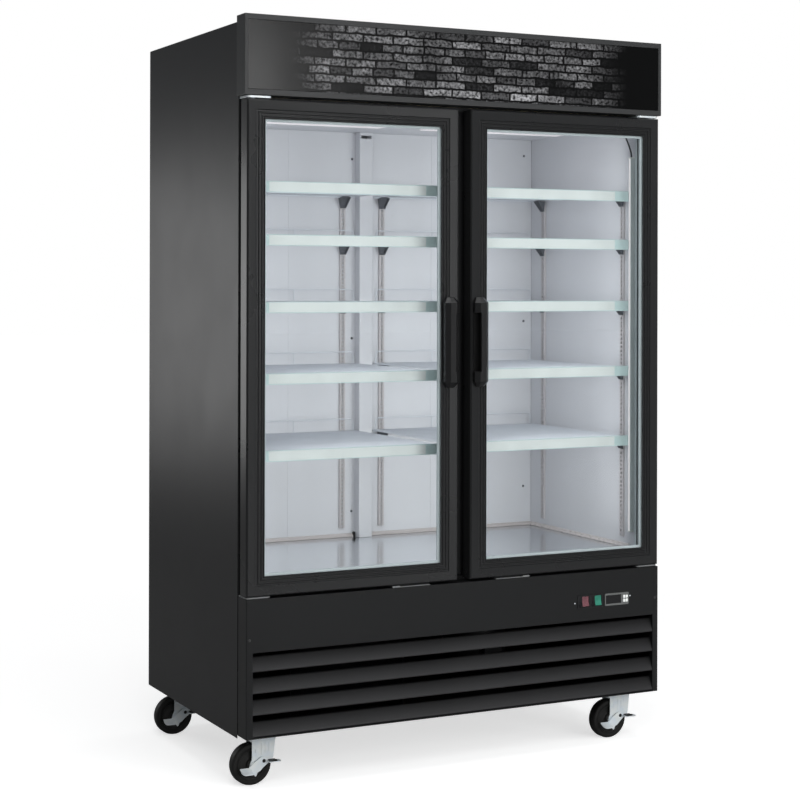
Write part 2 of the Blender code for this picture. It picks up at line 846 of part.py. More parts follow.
def make_machine(look):
    # Condenser coil behind the louvres, with its fan motor held on a strap.
    fan_x, fan_z = -0.325, 0.310
    block = (at(0.090), at(0.150))
    condenser = box("condenser", (-0.500, block[0], 0.175), (-0.150, block[1], 0.445), look["aluminium"])

    def condenser_frame(bm):
        for x in (-0.500, -0.156):
            add_box(bm, (x, block[1] - 0.01, 0.170), (x + 0.006, at(0.255), 0.450))
        add_box(bm, (-0.500, at(0.245), fan_z - 0.02), (-0.150, at(0.250), fan_z + 0.02))
        motor = [(0, -0.030), (0.035, -0.030), (0.035, 0.030), (0, 0.030)]
        add_turned(bm, motor, (fan_x, at(0.232), fan_z), "Y", 20)
        add_box(bm, (-0.480, block[0] + 0.005, DECK + GAP), (-0.440, block[1] - 0.005, 0.180))
        add_box(bm, (-0.210, block[0] + 0.005, DECK + GAP), (-0.170, block[1] - 0.005, 0.180))

    join(condenser, "condenser_mounts", condenser_frame)
    condenser.modifiers[-1].use_self = True
    make_fan("condenser_fan", (fan_x, at(0.180), fan_z), 0.110, 0.030, 0.015, 5, look["black_plastic"])

    # Hermetic compressor on its foot plate.
    centre = (0.300, at(0.480), DECK + GAP)
    bm = bmesh.new()
    can = [(0, 0.004), (0.085, 0.004), (0.098, 0.030), (0.102, 0.120), (0.095, 0.165), (0.070, 0.200)]
    can += [(0.035, 0.214), (0, 0.218)]
    add_turned(bm, can, centre, "Z", 28)
    compressor = object_from("compressor", bm, look["black_steel"], smooth=True)
    x, y, z = centre
    join(
        compressor,
        "compressor_foot",
        lambda bm: add_box(bm, (x - 0.125, y - 0.085, z), (x + 0.125, y + 0.085, z + 0.008)),
    )

    # Evaporator coil in the rear duct, with its fan motor on a strap above it.
    fan_z = 0.880
    evaporator = box(
        "evaporator", (-0.260, at(0.690), 0.600), (0.260, at(0.742), 0.790), look["aluminium"]
    )

    def evaporator_mount(bm):
        add_box(bm, (-0.012, at(0.738), 0.780), (0.012, at(0.742), fan_z))
        motor = [(0, -0.010), (0.024, -0.010), (0.024, 0.010), (0, 0.010)]
        add_turned(bm, motor, (0, at(0.7325), fan_z), "Y", 16)

    join(evaporator, "evaporator_mount", evaporator_mount)
    evaporator.modifiers[-1].use_self = True
    make_fan("evaporator_fan", (0, at(0.705), fan_z), 0.065, 0.020, 0.012, 5, look["black_plastic"])


# ---- casters ------------------------------------------------------------------------
def leg_outline():
    """Fork leg in X and Z, measured from the wheel's centre."""
    return [
        (-0.003, 0.066),
        (-0.003, 0.012),
        (-0.010, 0.000),
        (-0.008, -0.012),
        (0.004, -0.020),
        (0.020, -0.017),
        (0.060, 0.012),
        (0.066, 0.066),
    ]


def make_caster(look, place, x, depth):
    swivel = Vector((x, at(depth), 0.1453))
    hub = Vector((x - CASTER_TRAIL, at(depth), WHEEL_RADIUS))

    bm = bmesh.new()
    crown_low = 0.062
    crown_high = 0.076
    add_box(
        bm,
        (hub.x - 0.008, hub.y - 0.022, hub.z + crown_low),
        (hub.x + 0.070, hub.y + 0.022, hub.z + crown_high),
    )
    fork = object_from(f"caster_fork_{place}", bm, look["zinc"])
    race_top = swivel.z - GAP
    race_low = hub.z + crown_high - 0.002
    race_radius = 0.031
    race = [(0, race_low), (race_radius, race_low), (race_radius, race_top), (0, race_top)]

    def fork_rest(bm):
        add_turned(bm, race, (swivel.x, swivel.y, 0), "Z", 24)

    def fork_legs(bm):
        outline = [(hub.x + u, hub.z + v) for u, v in leg_outline()]
        for near, far in ((-0.022, -0.019), (0.019, 0.022)):
            add_prism(bm, outline, "Y", hub.y + near, hub.y + far)

    axle = [(0, -0.025), (0.008, -0.025), (0.008, -0.0215), (AXLE_RADIUS, -0.0215)]
    axle += [(AXLE_RADIUS, 0.0215), (0.008, 0.0215), (0.008, 0.025), (0, 0.025)]
    join(fork, f"caster_race_{place}", fork_rest)
    join(fork, f"caster_legs_{place}", fork_legs)
    join(fork, f"caster_axle_{place}", lambda bm: add_turned(bm, axle, hub, "Y", 12))
    origin_to(fork, swivel)

    bm = bmesh.new()
    bore = AXLE_RADIUS + GAP
    section = [(bore, -0.018), (0.016, -0.018), (0.018, -0.010), (0.040, -0.010), (0.043, -WHEEL_HALF)]
    section += [(0.052, -WHEEL_HALF), (WHEEL_RADIUS, -0.011), (WHEEL_RADIUS, 0.011), (0.052, WHEEL_HALF)]
    section += [(0.043, WHEEL_HALF), (0.040, 0.010), (0.018, 0.010), (0.016, 0.018), (bore, 0.018)]
    add_turned(bm, section, (0, 0, 0), "Y", 32, closed=True)
    wheel = object_from(f"caster_wheel_{place}", bm, look["rubber"], smooth=True)
    wheel.location = hub

    brake = make_brake(look, place, hub)
    helpers = [bpy.data.objects[f"caster_{part}_{place}"] for part in ("race", "legs", "axle")]
    for piece in (wheel, brake, *helpers):
        hang_on(piece, fork)


def make_brake(look, place, hub):
    """Rocking brake lever outside the front leg: one pedal locks it, the other frees it."""
    plate = [(-0.014, -0.004), (-0.012, -0.016), (0.004, -0.030), (0.012, -0.020), (0.030, -0.006)]
    plate += [(0.044, 0.006), (0.044, 0.018), (0.026, 0.024), (0.000, 0.008)]
    bm = bmesh.new()
    add_prism(bm, [(hub.x + u, hub.z + v) for u, v in plate], "Y", hub.y - 0.0285, hub.y - 0.0260)
    brake = object_from(f"caster_brake_{place}", bm, look["zinc"])

    def pedals(bm):
        low = hub.y - 0.052
        high = hub.y - 0.0262
        lock = [(-0.040, -0.013), (-0.040, -0.016), (-0.012, -0.016), (-0.004, -0.008), (-0.009, -0.006)]
        lock += [(-0.014, -0.013)]
        free = [(0.036, 0.010), (0.074, 0.008), (0.074, 0.011), (0.036, 0.0135)]
        for outline in (lock, free):
            add_prism(bm, [(hub.x + u, hub.z + v) for u, v in outline], "Y", low, high)

    join(brake, f"caster_pedals_{place}", pedals)
    pivot = hub + Vector((0.030, -0.024, 0.010))
    origin_to(brake, pivot)
    rest = bpy.data.objects[f"caster_pedals_{place}"]
    origin_to(rest, pivot)
    hang_on(rest, brake)
    return brake


# ---- whole object -------------------------------------------------------------------
def main():
    for obj in list(bpy.data.objects):
        bpy.data.objects.remove(obj, do_unlink=True)
    look = make_finishes()
    make_cabinet(look)
    make_header(look)
    make_lower_panel(look)
    make_switches(look)
    make_controller(look)
    for side, name in ((-1, "left"), (1, "right")):
        make_door(look, side, f"door_{name}")
        make_hinges(look, side, name)
    make_shelves(look)
    make_lamps(look)
    make_machine(look)
    for x, hand in ((-CASTER_X, "left"), (CASTER_X, "right")):
        for depth, end in zip(CASTER_DEPTHS, ("front", "rear")):
            make_caster(look, f"{end}_{hand}", x, depth)


main()
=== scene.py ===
"""Looks of the two-door glass merchandiser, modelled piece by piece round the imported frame."""

import math
from contextlib import contextmanager

import bmesh
import bpy
from mathutils import Matrix, Vector


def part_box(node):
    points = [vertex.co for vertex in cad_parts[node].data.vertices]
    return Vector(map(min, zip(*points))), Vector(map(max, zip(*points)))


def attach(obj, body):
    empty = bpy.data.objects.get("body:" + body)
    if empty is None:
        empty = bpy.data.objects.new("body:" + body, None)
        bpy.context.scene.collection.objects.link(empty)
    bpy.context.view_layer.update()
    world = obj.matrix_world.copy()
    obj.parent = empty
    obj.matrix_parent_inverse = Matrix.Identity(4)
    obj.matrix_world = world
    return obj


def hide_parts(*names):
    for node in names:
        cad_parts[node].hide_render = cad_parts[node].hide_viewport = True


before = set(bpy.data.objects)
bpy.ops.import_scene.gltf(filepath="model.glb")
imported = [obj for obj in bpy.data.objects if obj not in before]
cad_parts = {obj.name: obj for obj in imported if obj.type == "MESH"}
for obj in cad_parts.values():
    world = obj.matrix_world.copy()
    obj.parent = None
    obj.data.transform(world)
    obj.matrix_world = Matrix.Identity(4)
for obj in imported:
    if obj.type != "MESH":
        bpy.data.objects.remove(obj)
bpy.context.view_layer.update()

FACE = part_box("door_left_frame")[0].y  # plane of the door faces
SIDES = ((-1, "left"), (1, "right"))
BACK_WALL = 0.681  # depth of the cold space's back wall
CEILING = 1.853
MACHINE_TOP = 0.505  # joint between the upper back and the machine cover
HINGE_X = 0.648
HINGE_DEPTH = 0.022
ALL = (1, 1, 1)


def at(depth):
    """World Y of a plane this far behind the door faces."""
    return FACE + depth


def mm(*points):
    """The points of a section, given in millimetres."""
    return [(u / 1000, v / 1000) for u, v in points]


# ---- at the bench: small tools ------------------------------------------------------
def only(obj):
    bpy.ops.object.select_all(action="DESELECT")
    obj.select_set(True)
    bpy.context.view_layer.objects.active = obj


def settled(name):
    """Names what was just added and puts its place and size into its mesh."""
    obj = bpy.context.active_object
    bpy.ops.object.transform_apply(location=True, rotation=True, scale=True)
    obj.name = name
    obj.data.name = name
    return obj


def block(name, low, high):
    bpy.ops.object.select_all(action="DESELECT")
    middle = [(a + b) / 2 for a, b in zip(low, high)]
    size = [b - a for a, b in zip(low, high)]
    bpy.ops.mesh.primitive_cube_add(size=1, location=middle, scale=size)
    return settled(name)


def mirrored_block(name, side, low, high):
    """A block given for the right-hand side, put on the side asked for."""
    x = sorted((side * low[0], side * high[0]))
    return block(name, (x[0], low[1], low[2]), (x[1], high[1], high[2]))


def rod(name, start, end, radius, sides=8):
    """A straight round bar along one axis."""
    bpy.ops.object.select_all(action="DESELECT")
    start, end = Vector(start), Vector(end)
    way = end - start
    turn = way.to_track_quat("Z", "Y").to_euler()
    bpy.ops.mesh.primitive_cylinder_add(
        vertices=sides, radius=radius, depth=way.length, location=(start + end) / 2, rotation=turn
    )
    return settled(name)


@contextmanager
def shaping(obj):
    """Edit mode on one piece, back to object mode afterwards."""
    only(obj)
    bpy.ops.object.mode_set(mode="EDIT")
    yield
    bpy.ops.object.mode_set(mode="OBJECT")


def pick(kind, test):
    """Selects the faces, edges or points whose middle and direction pass the test."""
    bpy.ops.mesh.select_mode(type=kind)
    bpy.ops.mesh.select_all(action="DESELECT")
    mesh = bpy.context.edit_object.data
    bm = bmesh.from_edit_mesh(mesh)
    if kind == "FACE":
        for face in bm.faces:
            face.select_set(test(face.calc_center_median(), face.normal))
    elif kind == "EDGE":
        for edge in bm.edges:
            a, b = (vert.co for vert in edge.verts)
            edge.select_set(test((a + b) / 2, (b - a).normalized()))
    else:
        for vert in bm.verts:
            vert.select_set(test(vert.co, vert.normal))
    bm.select_flush_mode()
    bmesh.update_edit_mesh(mesh)


def step_in(*steps):
    """Insets the picked face again and again, each time by (inward, outward)."""
    for inward, outward in steps:
        bpy.ops.mesh.inset(thickness=inward, depth=outward)


def round_off(offset, segments, test):
    """Rounds the edges whose middle and direction pass the test."""
    pick("EDGE", test)
    bpy.ops.mesh.bevel(offset=offset, segments=segments, affect="EDGES")


def running(axis):
    """A test for edges that run along X, Y or Z."""
    return lambda middle, way: abs(way["XYZ".index(axis)]) > 0.9


def push(move):
    bpy.ops.mesh.extrude_region_move(TRANSFORM_OT_translate={"value": move})


def clean():
    """Merges doubles, drops strays and turns every face outwards."""
    bpy.ops.mesh.select_mode(type="VERT")
    bpy.ops.mesh.select_all(action="SELECT")
    bpy.ops.mesh.remove_doubles(threshold=2e-6)
    bpy.ops.mesh.delete_loose()
    bpy.ops.mesh.select_all(action="SELECT")
    bpy.ops.mesh.normals_make_consistent(inside=False)


def section(name, points, filled=True):
    """A closed outline through these points."""
    bpy.ops.object.select_all(action="DESELECT")
    fill = "NGON" if filled else "NOTHING"
    bpy.ops.mesh.primitive_circle_add(vertices=len(points), fill_type=fill)
    obj = settled(name)
    for vert, point in zip(obj.data.vertices, points):
        vert.co = point
    return obj


def drawn_out(name, points, axis, start, end):
    """A section in the two other axes, drawn out along X, Y or Z."""

    def lift(point, along):
        u, v = point
        return Vector({"X": (along, u, v), "Y": (u, along, v), "Z": (u, v, along)}[axis])

    obj = section(name, [lift(point, start) for point in points])
    with shaping(obj):
        bpy.ops.mesh.select_all(action="SELECT")
        push(lift((0, 0), end) - lift((0, 0), start))
        clean()
    return obj


def turned(name, profile, centre, axis, steps=32):
    """A (radius, along) section spun once round an axis through centre."""
    along = {"X": Vector((1, 0, 0)), "Y": Vector((0, 1, 0)), "Z": Vector((0, 0, 1))}[axis]
    out = Vector((0, 0, 1)) if axis != "Z" else Vector((1, 0, 0))
    centre = Vector(centre)
    obj = section(name, [centre + out * r + along * h for r, h in profile], filled=False)
    with shaping(obj):
        bpy.ops.mesh.select_all(action="SELECT")
        bpy.ops.mesh.spin(steps=steps, angle=2 * math.pi, center=centre, axis=along)
        clean()
    return obj


def mitred(name, profile, x_range, z_range, z_share=1.0):
    """An (inward, depth) section spun in four steps into a square ring, corners then moved out."""
    reach = 1.0
    points = [(reach - inward, at(depth), reach - inward) for inward, depth in profile]
    obj = section(name, points, filled=False)
    with shaping(obj):
        bpy.ops.mesh.select_all(action="SELECT")
        bpy.ops.mesh.spin(steps=4, angle=2 * math.pi, center=(0, 0, 0), axis=(0, 1, 0))
        clean()
    for vert in obj.data.vertices:
        inward = reach - abs(vert.co.x)
        vert.co.x = x_range[1] - inward if vert.co.x > 0 else x_range[0] + inward
        inward *= z_share
        vert.co.z = z_range[1] - inward if vert.co.z > 0 else z_range[0] + inward
    return obj


def bent_rod(name, points, radius, round_steps=2, smooth_ends=False):
    """A round wire, tube or lead through these points, with capped ends."""
    curve = bpy.data.curves.new(name, "CURVE")
    curve.dimensions = "3D"
    curve.bevel_depth = radius
    curve.bevel_resolution = round_steps
    curve.use_fill_caps = True
    curve.resolution_u = 6
    spline = curve.splines.new("BEZIER" if smooth_ends else "POLY")
    if smooth_ends:
        spline.bezier_points.add(len(points) - 1)
        for knot, point in zip(spline.bezier_points, points):
            knot.co = point
            knot.handle_left_type = knot.handle_right_type = "AUTO"
    else:
        spline.points.add(len(points) - 1)
        for knot, point in zip(spline.points, points):
            knot.co = (*point, 1.0)
    obj = bpy.data.objects.new(name, curve)
    bpy.context.scene.collection.objects.link(obj)
    only(obj)
    bpy.ops.object.convert(target="MESH")
    obj = bpy.context.active_object
    with shaping(obj):
        clean()
    return obj


def worked(obj, kind, **settings):
    """Adds a modifier with these settings and applies it."""
    modifier = obj.modifiers.new(kind.lower(), kind)
    for setting, value in settings.items():
        setattr(modifier, setting, value)
    only(obj)
    bpy.ops.object.modifier_apply(modifier=modifier.name)
    return obj


def soften(obj, width, segments=2, angle=30):
    return worked(
        obj, "BEVEL", width=width, segments=segments, limit_method="ANGLE",
        angle_limit=math.radians(angle), use_clamp_overlap=True,
    )


def thicken(obj, thickness):
    return worked(obj, "SOLIDIFY", thickness=thickness, offset=-1, use_even_offset=True)


def repeat(obj, count, step):
    return worked(
        obj, "ARRAY", count=count, use_relative_offset=False, use_constant_offset=True,
        constant_offset_displace=step,
    )


def carve(obj, cutter):
    """Cuts the cutter's shape away and throws the cutter out."""
    worked(obj, "BOOLEAN", object=cutter, operation="DIFFERENCE", solver="EXACT")
    bpy.data.objects.remove(cutter, do_unlink=True)
    return obj


def assembled(name, pieces):
    """Several worked shapes made one piece."""
    only(pieces[0])
    for piece in pieces[1:]:
        piece.select_set(True)
    bpy.ops.object.join()
    pieces[0].name = name
    pieces[0].data.name = name
    return pieces[0]


def put_away(*spares):
    for spare in spares:
        bpy.data.objects.remove(spare, do_unlink=True)


def twin(obj, name, move=(0, 0, 0), turn=None, flip=False):
    """A copy with its own mesh, moved, turned about Z or flipped left to right."""
    copy = obj.copy()
    copy.data = obj.data.copy()
    copy.parent = None
    for key in [key for key in copy.keys() if key.startswith("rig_")]:
        del copy[key]
    copy.name = name
    copy.data.name = name
    bpy.context.scene.collection.objects.link(copy)
    matrix = Matrix.Translation(move)
    if turn is not None:
        matrix = matrix @ Matrix.Rotation(turn, 4, "Z")
    if flip:
        matrix = matrix @ Matrix.Diagonal((-1, 1, 1, 1))
    copy.data.transform(matrix)
    if flip:
        copy.data.flip_normals()
    return copy


def fit(obj, finish, body="cabinet", stands_for=(), smooth=35):
    """Finish, smooth shading and the body it rides on: the piece is done."""
    obj.data.materials.clear()
    obj.data.materials.append(FINISH[finish])
    only(obj)
    bpy.ops.object.shade_smooth_by_angle(angle=math.radians(smooth))
    worked(obj, "WEIGHTED_NORMAL", keep_sharp=True)
    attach(obj, body)
    if stands_for:
        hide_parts(*stands_for)
    return obj


def dress(node, finish, edge=None):
    """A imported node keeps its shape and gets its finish, and soft edges where they show."""
    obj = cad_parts[node]
    obj.data.materials.clear()
    obj.data.materials.append(FINISH[finish])
    if edge:
        weld = obj.modifiers.new("weld", "WELD")
        weld.merge_threshold = 1e-5
        bevel = obj.modifiers.new("soft_edges", "BEVEL")
        bevel.width = edge
        bevel.segments = 2
        bevel.limit_method = "ANGLE"
        bevel.angle_limit = math.radians(35)


# ---- finishes -----------------------------------------------------------------------
class Recipe:
    """One finish: its shader and the patterns that feed it."""

    def __init__(self, name, colour, roughness, metallic=0.0, **sockets):
        self.material = bpy.data.materials.new(name)
        self.material.use_nodes = True
        self.tree = self.material.node_tree
        self.shader = self.tree.nodes["Principled BSDF"]
        self.colour = colour
        self.set(self.shader, "Base Color", (*colour, 1.0))
        self.set(self.shader, "Roughness", roughness)
        self.set(self.shader, "Metallic", metallic)
        for socket, value in sockets.items():
            self.set(self.shader, socket.replace("_", " "), value)

    def set(self, node, socket, value):
        if isinstance(value, bpy.types.NodeSocket):
            self.tree.links.new(value, node.inputs[socket])
        else:
            node.inputs[socket].default_value = value

    def node(self, kind, inputs=None, **settings):
        node = self.tree.nodes.new(kind)
        for setting, value in settings.items():
            setattr(node, setting, value)
        for socket, value in (inputs or {}).items():
            self.set(node, socket, value)
        return node

    def place(self, stretch=ALL):
        coords = self.node("ShaderNodeTexCoord").outputs["Object"]
        return self.node("ShaderNodeMapping", {"Vector": coords, "Scale": stretch}).outputs[0]

    def noise(self, scale, detail=2.0, stretch=ALL):
        inputs = {"Vector": self.place(stretch), "Scale": scale, "Detail": detail}
        return self.node("ShaderNodeTexNoise", inputs).outputs[0]

    def spread(self, factor, low, high, start=0.3, end=0.7):
        inputs = {"Value": factor, "From Min": start, "From Max": end, "To Min": low,
                  "To Max": high}
        return self.node("ShaderNodeMapRange", inputs).outputs[0]

    def blend(self, factor, first, second, mode="MIX"):
        node = self.node("ShaderNodeMix", data_type="RGBA", blend_type=mode)
        for index, value in ((0, factor), (6, first), (7, second)):
            if isinstance(value, tuple):
                value = (*value, 1.0)
            self.set(node, index, value)
        return node.outputs[2]

    def math(self, operation, first, second=0.0):
        return self.node("ShaderNodeMath", {0: first, 1: second}, operation=operation).outputs[0]

    def tinted(self, factor, dark, light):
        """Base colour between a darker and a lighter share of the finish's own."""
        shades = [tuple(part * share for part in self.colour) for share in (dark, light)]
        self.set(self.shader, "Base Color", self.blend(factor, *shades))
        return self

    def roughened(self, factor, low, high):
        self.set(self.shader, "Roughness", self.spread(factor, low, high))
        return self

    def bumped(self, height, distance, strength=0.5):
        inputs = {"Height": height, "Distance": distance, "Strength": strength}
        self.set(self.shader, "Normal", self.node("ShaderNodeBump", inputs).outputs[0])
        return self


def painted(name, colour, roughness, grain=420.0, depth=0.00012, **sockets):
    """Powder coat: a fine orange peel, and a slow drift in tone and gloss."""
    recipe = Recipe(name, colour, roughness, **sockets)
    recipe.tinted(recipe.noise(2.2, 3.0), 0.93, 1.08)
    recipe.roughened(recipe.noise(5.0, 4.0), roughness - 0.015, roughness + 0.02)
    return recipe.bumped(recipe.noise(grain, 2.0), depth, 0.35).material


def moulded(name, colour, roughness, grain=900.0, depth=0.00006, **sockets):
    """Moulded plastic: a fine spark-eroded texture and faint flow marks."""
    recipe = Recipe(name, colour, roughness, **sockets)
    recipe.tinted(recipe.noise(14.0, 3.0), 0.9, 1.12)
    recipe.roughened(recipe.noise(30.0, 3.0), roughness - 0.05, roughness + 0.05)
    return recipe.bumped(recipe.noise(grain, 3.0), depth, 0.5).material


def brushed(name, colour, roughness, stretch, metallic=1.0, depth=0.00003):
    """Brushed sheet: fine scratches drawn out along one way."""
    recipe = Recipe(name, colour, roughness, metallic)
    hair = recipe.noise(1.0, 4.0, stretch)
    recipe.tinted(hair, 0.9, 1.08)
    recipe.roughened(hair, roughness * 0.75, roughness * 1.35)
    return recipe.bumped(hair, depth, 0.4).material


def plated(name, colour, roughness):
    """Bright zinc plate: cloudy, with faint warm and cool patches."""
    recipe = Recipe(name, colour, roughness, 0.25)
    cloud = recipe.noise(45.0, 2.0)
    warm = tuple(part * share for part, share in zip(colour, (1.04, 1.02, 0.98)))
    cool = tuple(part * share for part, share in zip(colour, (0.93, 0.96, 0.99)))
    recipe.set(recipe.shader, "Base Color", recipe.blend(recipe.spread(cloud, 0, 1), cool, warm))
    recipe.roughened(recipe.noise(90.0, 3.0), roughness * 0.94, roughness * 1.08)
    return recipe.bumped(recipe.noise(500.0, 2.0), 0.000008, 0.2).material


def sign_print():
    """Thin stone courses printed behind clear acrylic, fading to black at both ends."""
    recipe = Recipe("sign_print", (0.02, 0.02, 0.02), 0.16)
    coords = recipe.node("ShaderNodeTexCoord").outputs["Object"]
    parts = recipe.node("ShaderNodeSeparateXYZ", {"Vector": coords}).outputs
    wander = recipe.node(
        "ShaderNodeTexNoise", {"Vector": coords, "Scale": 26.0, "Detail": 3.0}
    ).outputs["Color"]
    drift = recipe.node(
        "ShaderNodeVectorMath", {0: wander, 1: (-0.5, -0.5, -0.5)}, operation="ADD"
    ).outputs[0]
    drift = recipe.node("ShaderNodeVectorMath", {0: drift, "Scale": 0.011},
                        operation="SCALE").outputs[0]
    flat = recipe.node("ShaderNodeCombineXYZ", {"X": parts["X"], "Y": parts["Z"]}).outputs[0]
    laid = recipe.node("ShaderNodeVectorMath", {0: flat, 1: drift}, operation="ADD").outputs[0]
    brick = recipe.node(
        "ShaderNodeTexBrick",
        {
            "Vector": laid, "Color1": (0.015, 0.015, 0.016, 1), "Color2": (0.3, 0.3, 0.31, 1),
            "Mortar": (0.002, 0.002, 0.002, 1), "Scale": 1.0, "Mortar Size": 0.0042,
            "Mortar Smooth": 0.55, "Bias": -0.1, "Brick Width": 0.094, "Row Height": 0.0232,
        },
        offset=0.43, offset_frequency=2, squash=0.7, squash_frequency=3,
    )
    rock = recipe.noise(120.0, 6.0)
    rough_face = recipe.spread(rock, 0.05, 1.5, 0.36, 0.66)
    patches = recipe.spread(recipe.noise(9.0, 2.0), 0.25, 1.25)
    shade = recipe.math("MULTIPLY", rough_face, patches)
    away = recipe.math("ABSOLUTE", parts["X"])
    fade = recipe.node(
        "ShaderNodeMapRange",
        {"Value": away, "From Min": 0.33, "From Max": 0.56, "To Min": 1.0, "To Max": 0.0},
        interpolation_type="SMOOTHSTEP",
    ).outputs[0]
    shade = recipe.math("MULTIPLY", shade, fade)
    stone = recipe.blend(1.0, brick.outputs["Color"], shade, "MULTIPLY")
    recipe.set(recipe.shader, "Base Color", stone)
    recipe.roughened(recipe.noise(4.0, 2.0), 0.14, 0.2)
    return recipe.bumped(recipe.noise(800.0, 2.0), 0.00002, 0.2).material


def slat_paint_and_shade():
    """Slat coat, duller and darker where each slat tucks in under the one above; the darkening is
    painted shade.
    """
    recipe = Recipe("slat_paint_and_shade", (0.021, 0.021, 0.022), 0.42)
    coords = recipe.node("ShaderNodeTexCoord").outputs["Object"]
    height = recipe.node("ShaderNodeSeparateXYZ", {"Vector": coords}).outputs["Z"]
    rise = recipe.math("FRACT",
                       recipe.math("DIVIDE", recipe.math("SUBTRACT", height, 0.152), 0.0585))
    # Painted shade: the colour darkens towards the top of each slat, where the slat above shades
    # it.
    painted_slat_shade = recipe.spread(rise, 1.0, 0.0, 0.1, 0.68)
    grain = recipe.spread(recipe.noise(3.0, 3.0), -0.08, 0.08)
    recipe.tinted(recipe.math("ADD", painted_slat_shade, grain), 0.22, 1.15)
    recipe.roughened(recipe.noise(5.0, 4.0), 0.38, 0.46)
    return recipe.bumped(recipe.noise(420.0, 2.0), 0.00012, 0.35).material


def rocker_lens(name, colour, middle):
    """Coloured lens with its black left-hand edge moulded in."""
    recipe = Recipe(name, colour, 0.3)
    coords = recipe.node("ShaderNodeTexCoord").outputs["Object"]
    across = recipe.node("ShaderNodeSeparateXYZ", {"Vector": coords}).outputs["X"]
    lit = recipe.spread(across, 0.0, 1.0, middle - 0.0058, middle - 0.005)
    haze = recipe.spread(recipe.noise(60.0, 3.0), 0.82, 1.12)
    glow = recipe.blend(1.0, recipe.colour, haze, "MULTIPLY")
    recipe.set(recipe.shader, "Base Color", recipe.blend(lit, (0.006, 0.006, 0.007), glow))
    return recipe.bumped(recipe.noise(700.0, 2.0), 0.00004, 0.4).material


def clear_pane():
    """Thin clear glass: passes light, and mirrors more the flatter it is seen."""
    recipe = Recipe("clear_pane", (1.0, 1.0, 1.0), 0.0)
    tree = recipe.tree
    facing = recipe.node("ShaderNodeLayerWeight", {"Blend": 0.5}).outputs["Facing"]
    steep = recipe.math("POWER", facing, 5.0)
    mirror = recipe.spread(steep, 0.035, 0.9, 0.0, 1.0)
    smear = recipe.spread(recipe.noise(6.0, 3.0), 0.0, 0.03)
    clear = recipe.node("ShaderNodeBsdfTransparent", {"Color": (0.985, 0.992, 0.99, 1.0)})
    gloss = recipe.node("ShaderNodeBsdfGlossy",
                        {"Color": (0.95, 0.97, 1.0, 1.0), "Roughness": smear})
    mix = recipe.node("ShaderNodeMixShader", {0: mirror, 1: clear.outputs[0], 2: gloss.outputs[0]})
    tree.links.new(mix.outputs[0], tree.nodes["Material Output"].inputs["Surface"])
    tree.nodes.remove(recipe.shader)
    return recipe.material


def glowing(name, colour, strength, roughness):
    recipe = Recipe(name, colour, roughness)
    recipe.set(recipe.shader, "Emission Color", (*colour, 1.0))
    recipe.set(recipe.shader, "Emission Strength", strength)
    recipe.tinted(recipe.noise(40.0, 2.0), 0.96, 1.02)
    return recipe.bumped(recipe.noise(300.0, 2.0), 0.00005, 0.3).material


def wall_sheet():
    """Pale coated aluminium of the walls: a soft sheen, and slow upright streaks of painted
    reflection in the colour.
    """
    recipe = Recipe("wall_sheet", (0.66, 0.665, 0.7), 0.34)
    # Painted reflection: upright streaks of lighter and darker colour stand in for the sheen's
    # reflections.
    painted_reflection_streak = recipe.noise(1.0, 3.0, (7.0, 7.0, 0.8))
    recipe.tinted(painted_reflection_streak, 0.9, 1.06)
    recipe.roughened(recipe.noise(3.0, 3.0), 0.28, 0.42)
    return recipe.bumped(recipe.noise(260.0, 3.0), 0.00008, 0.3).material


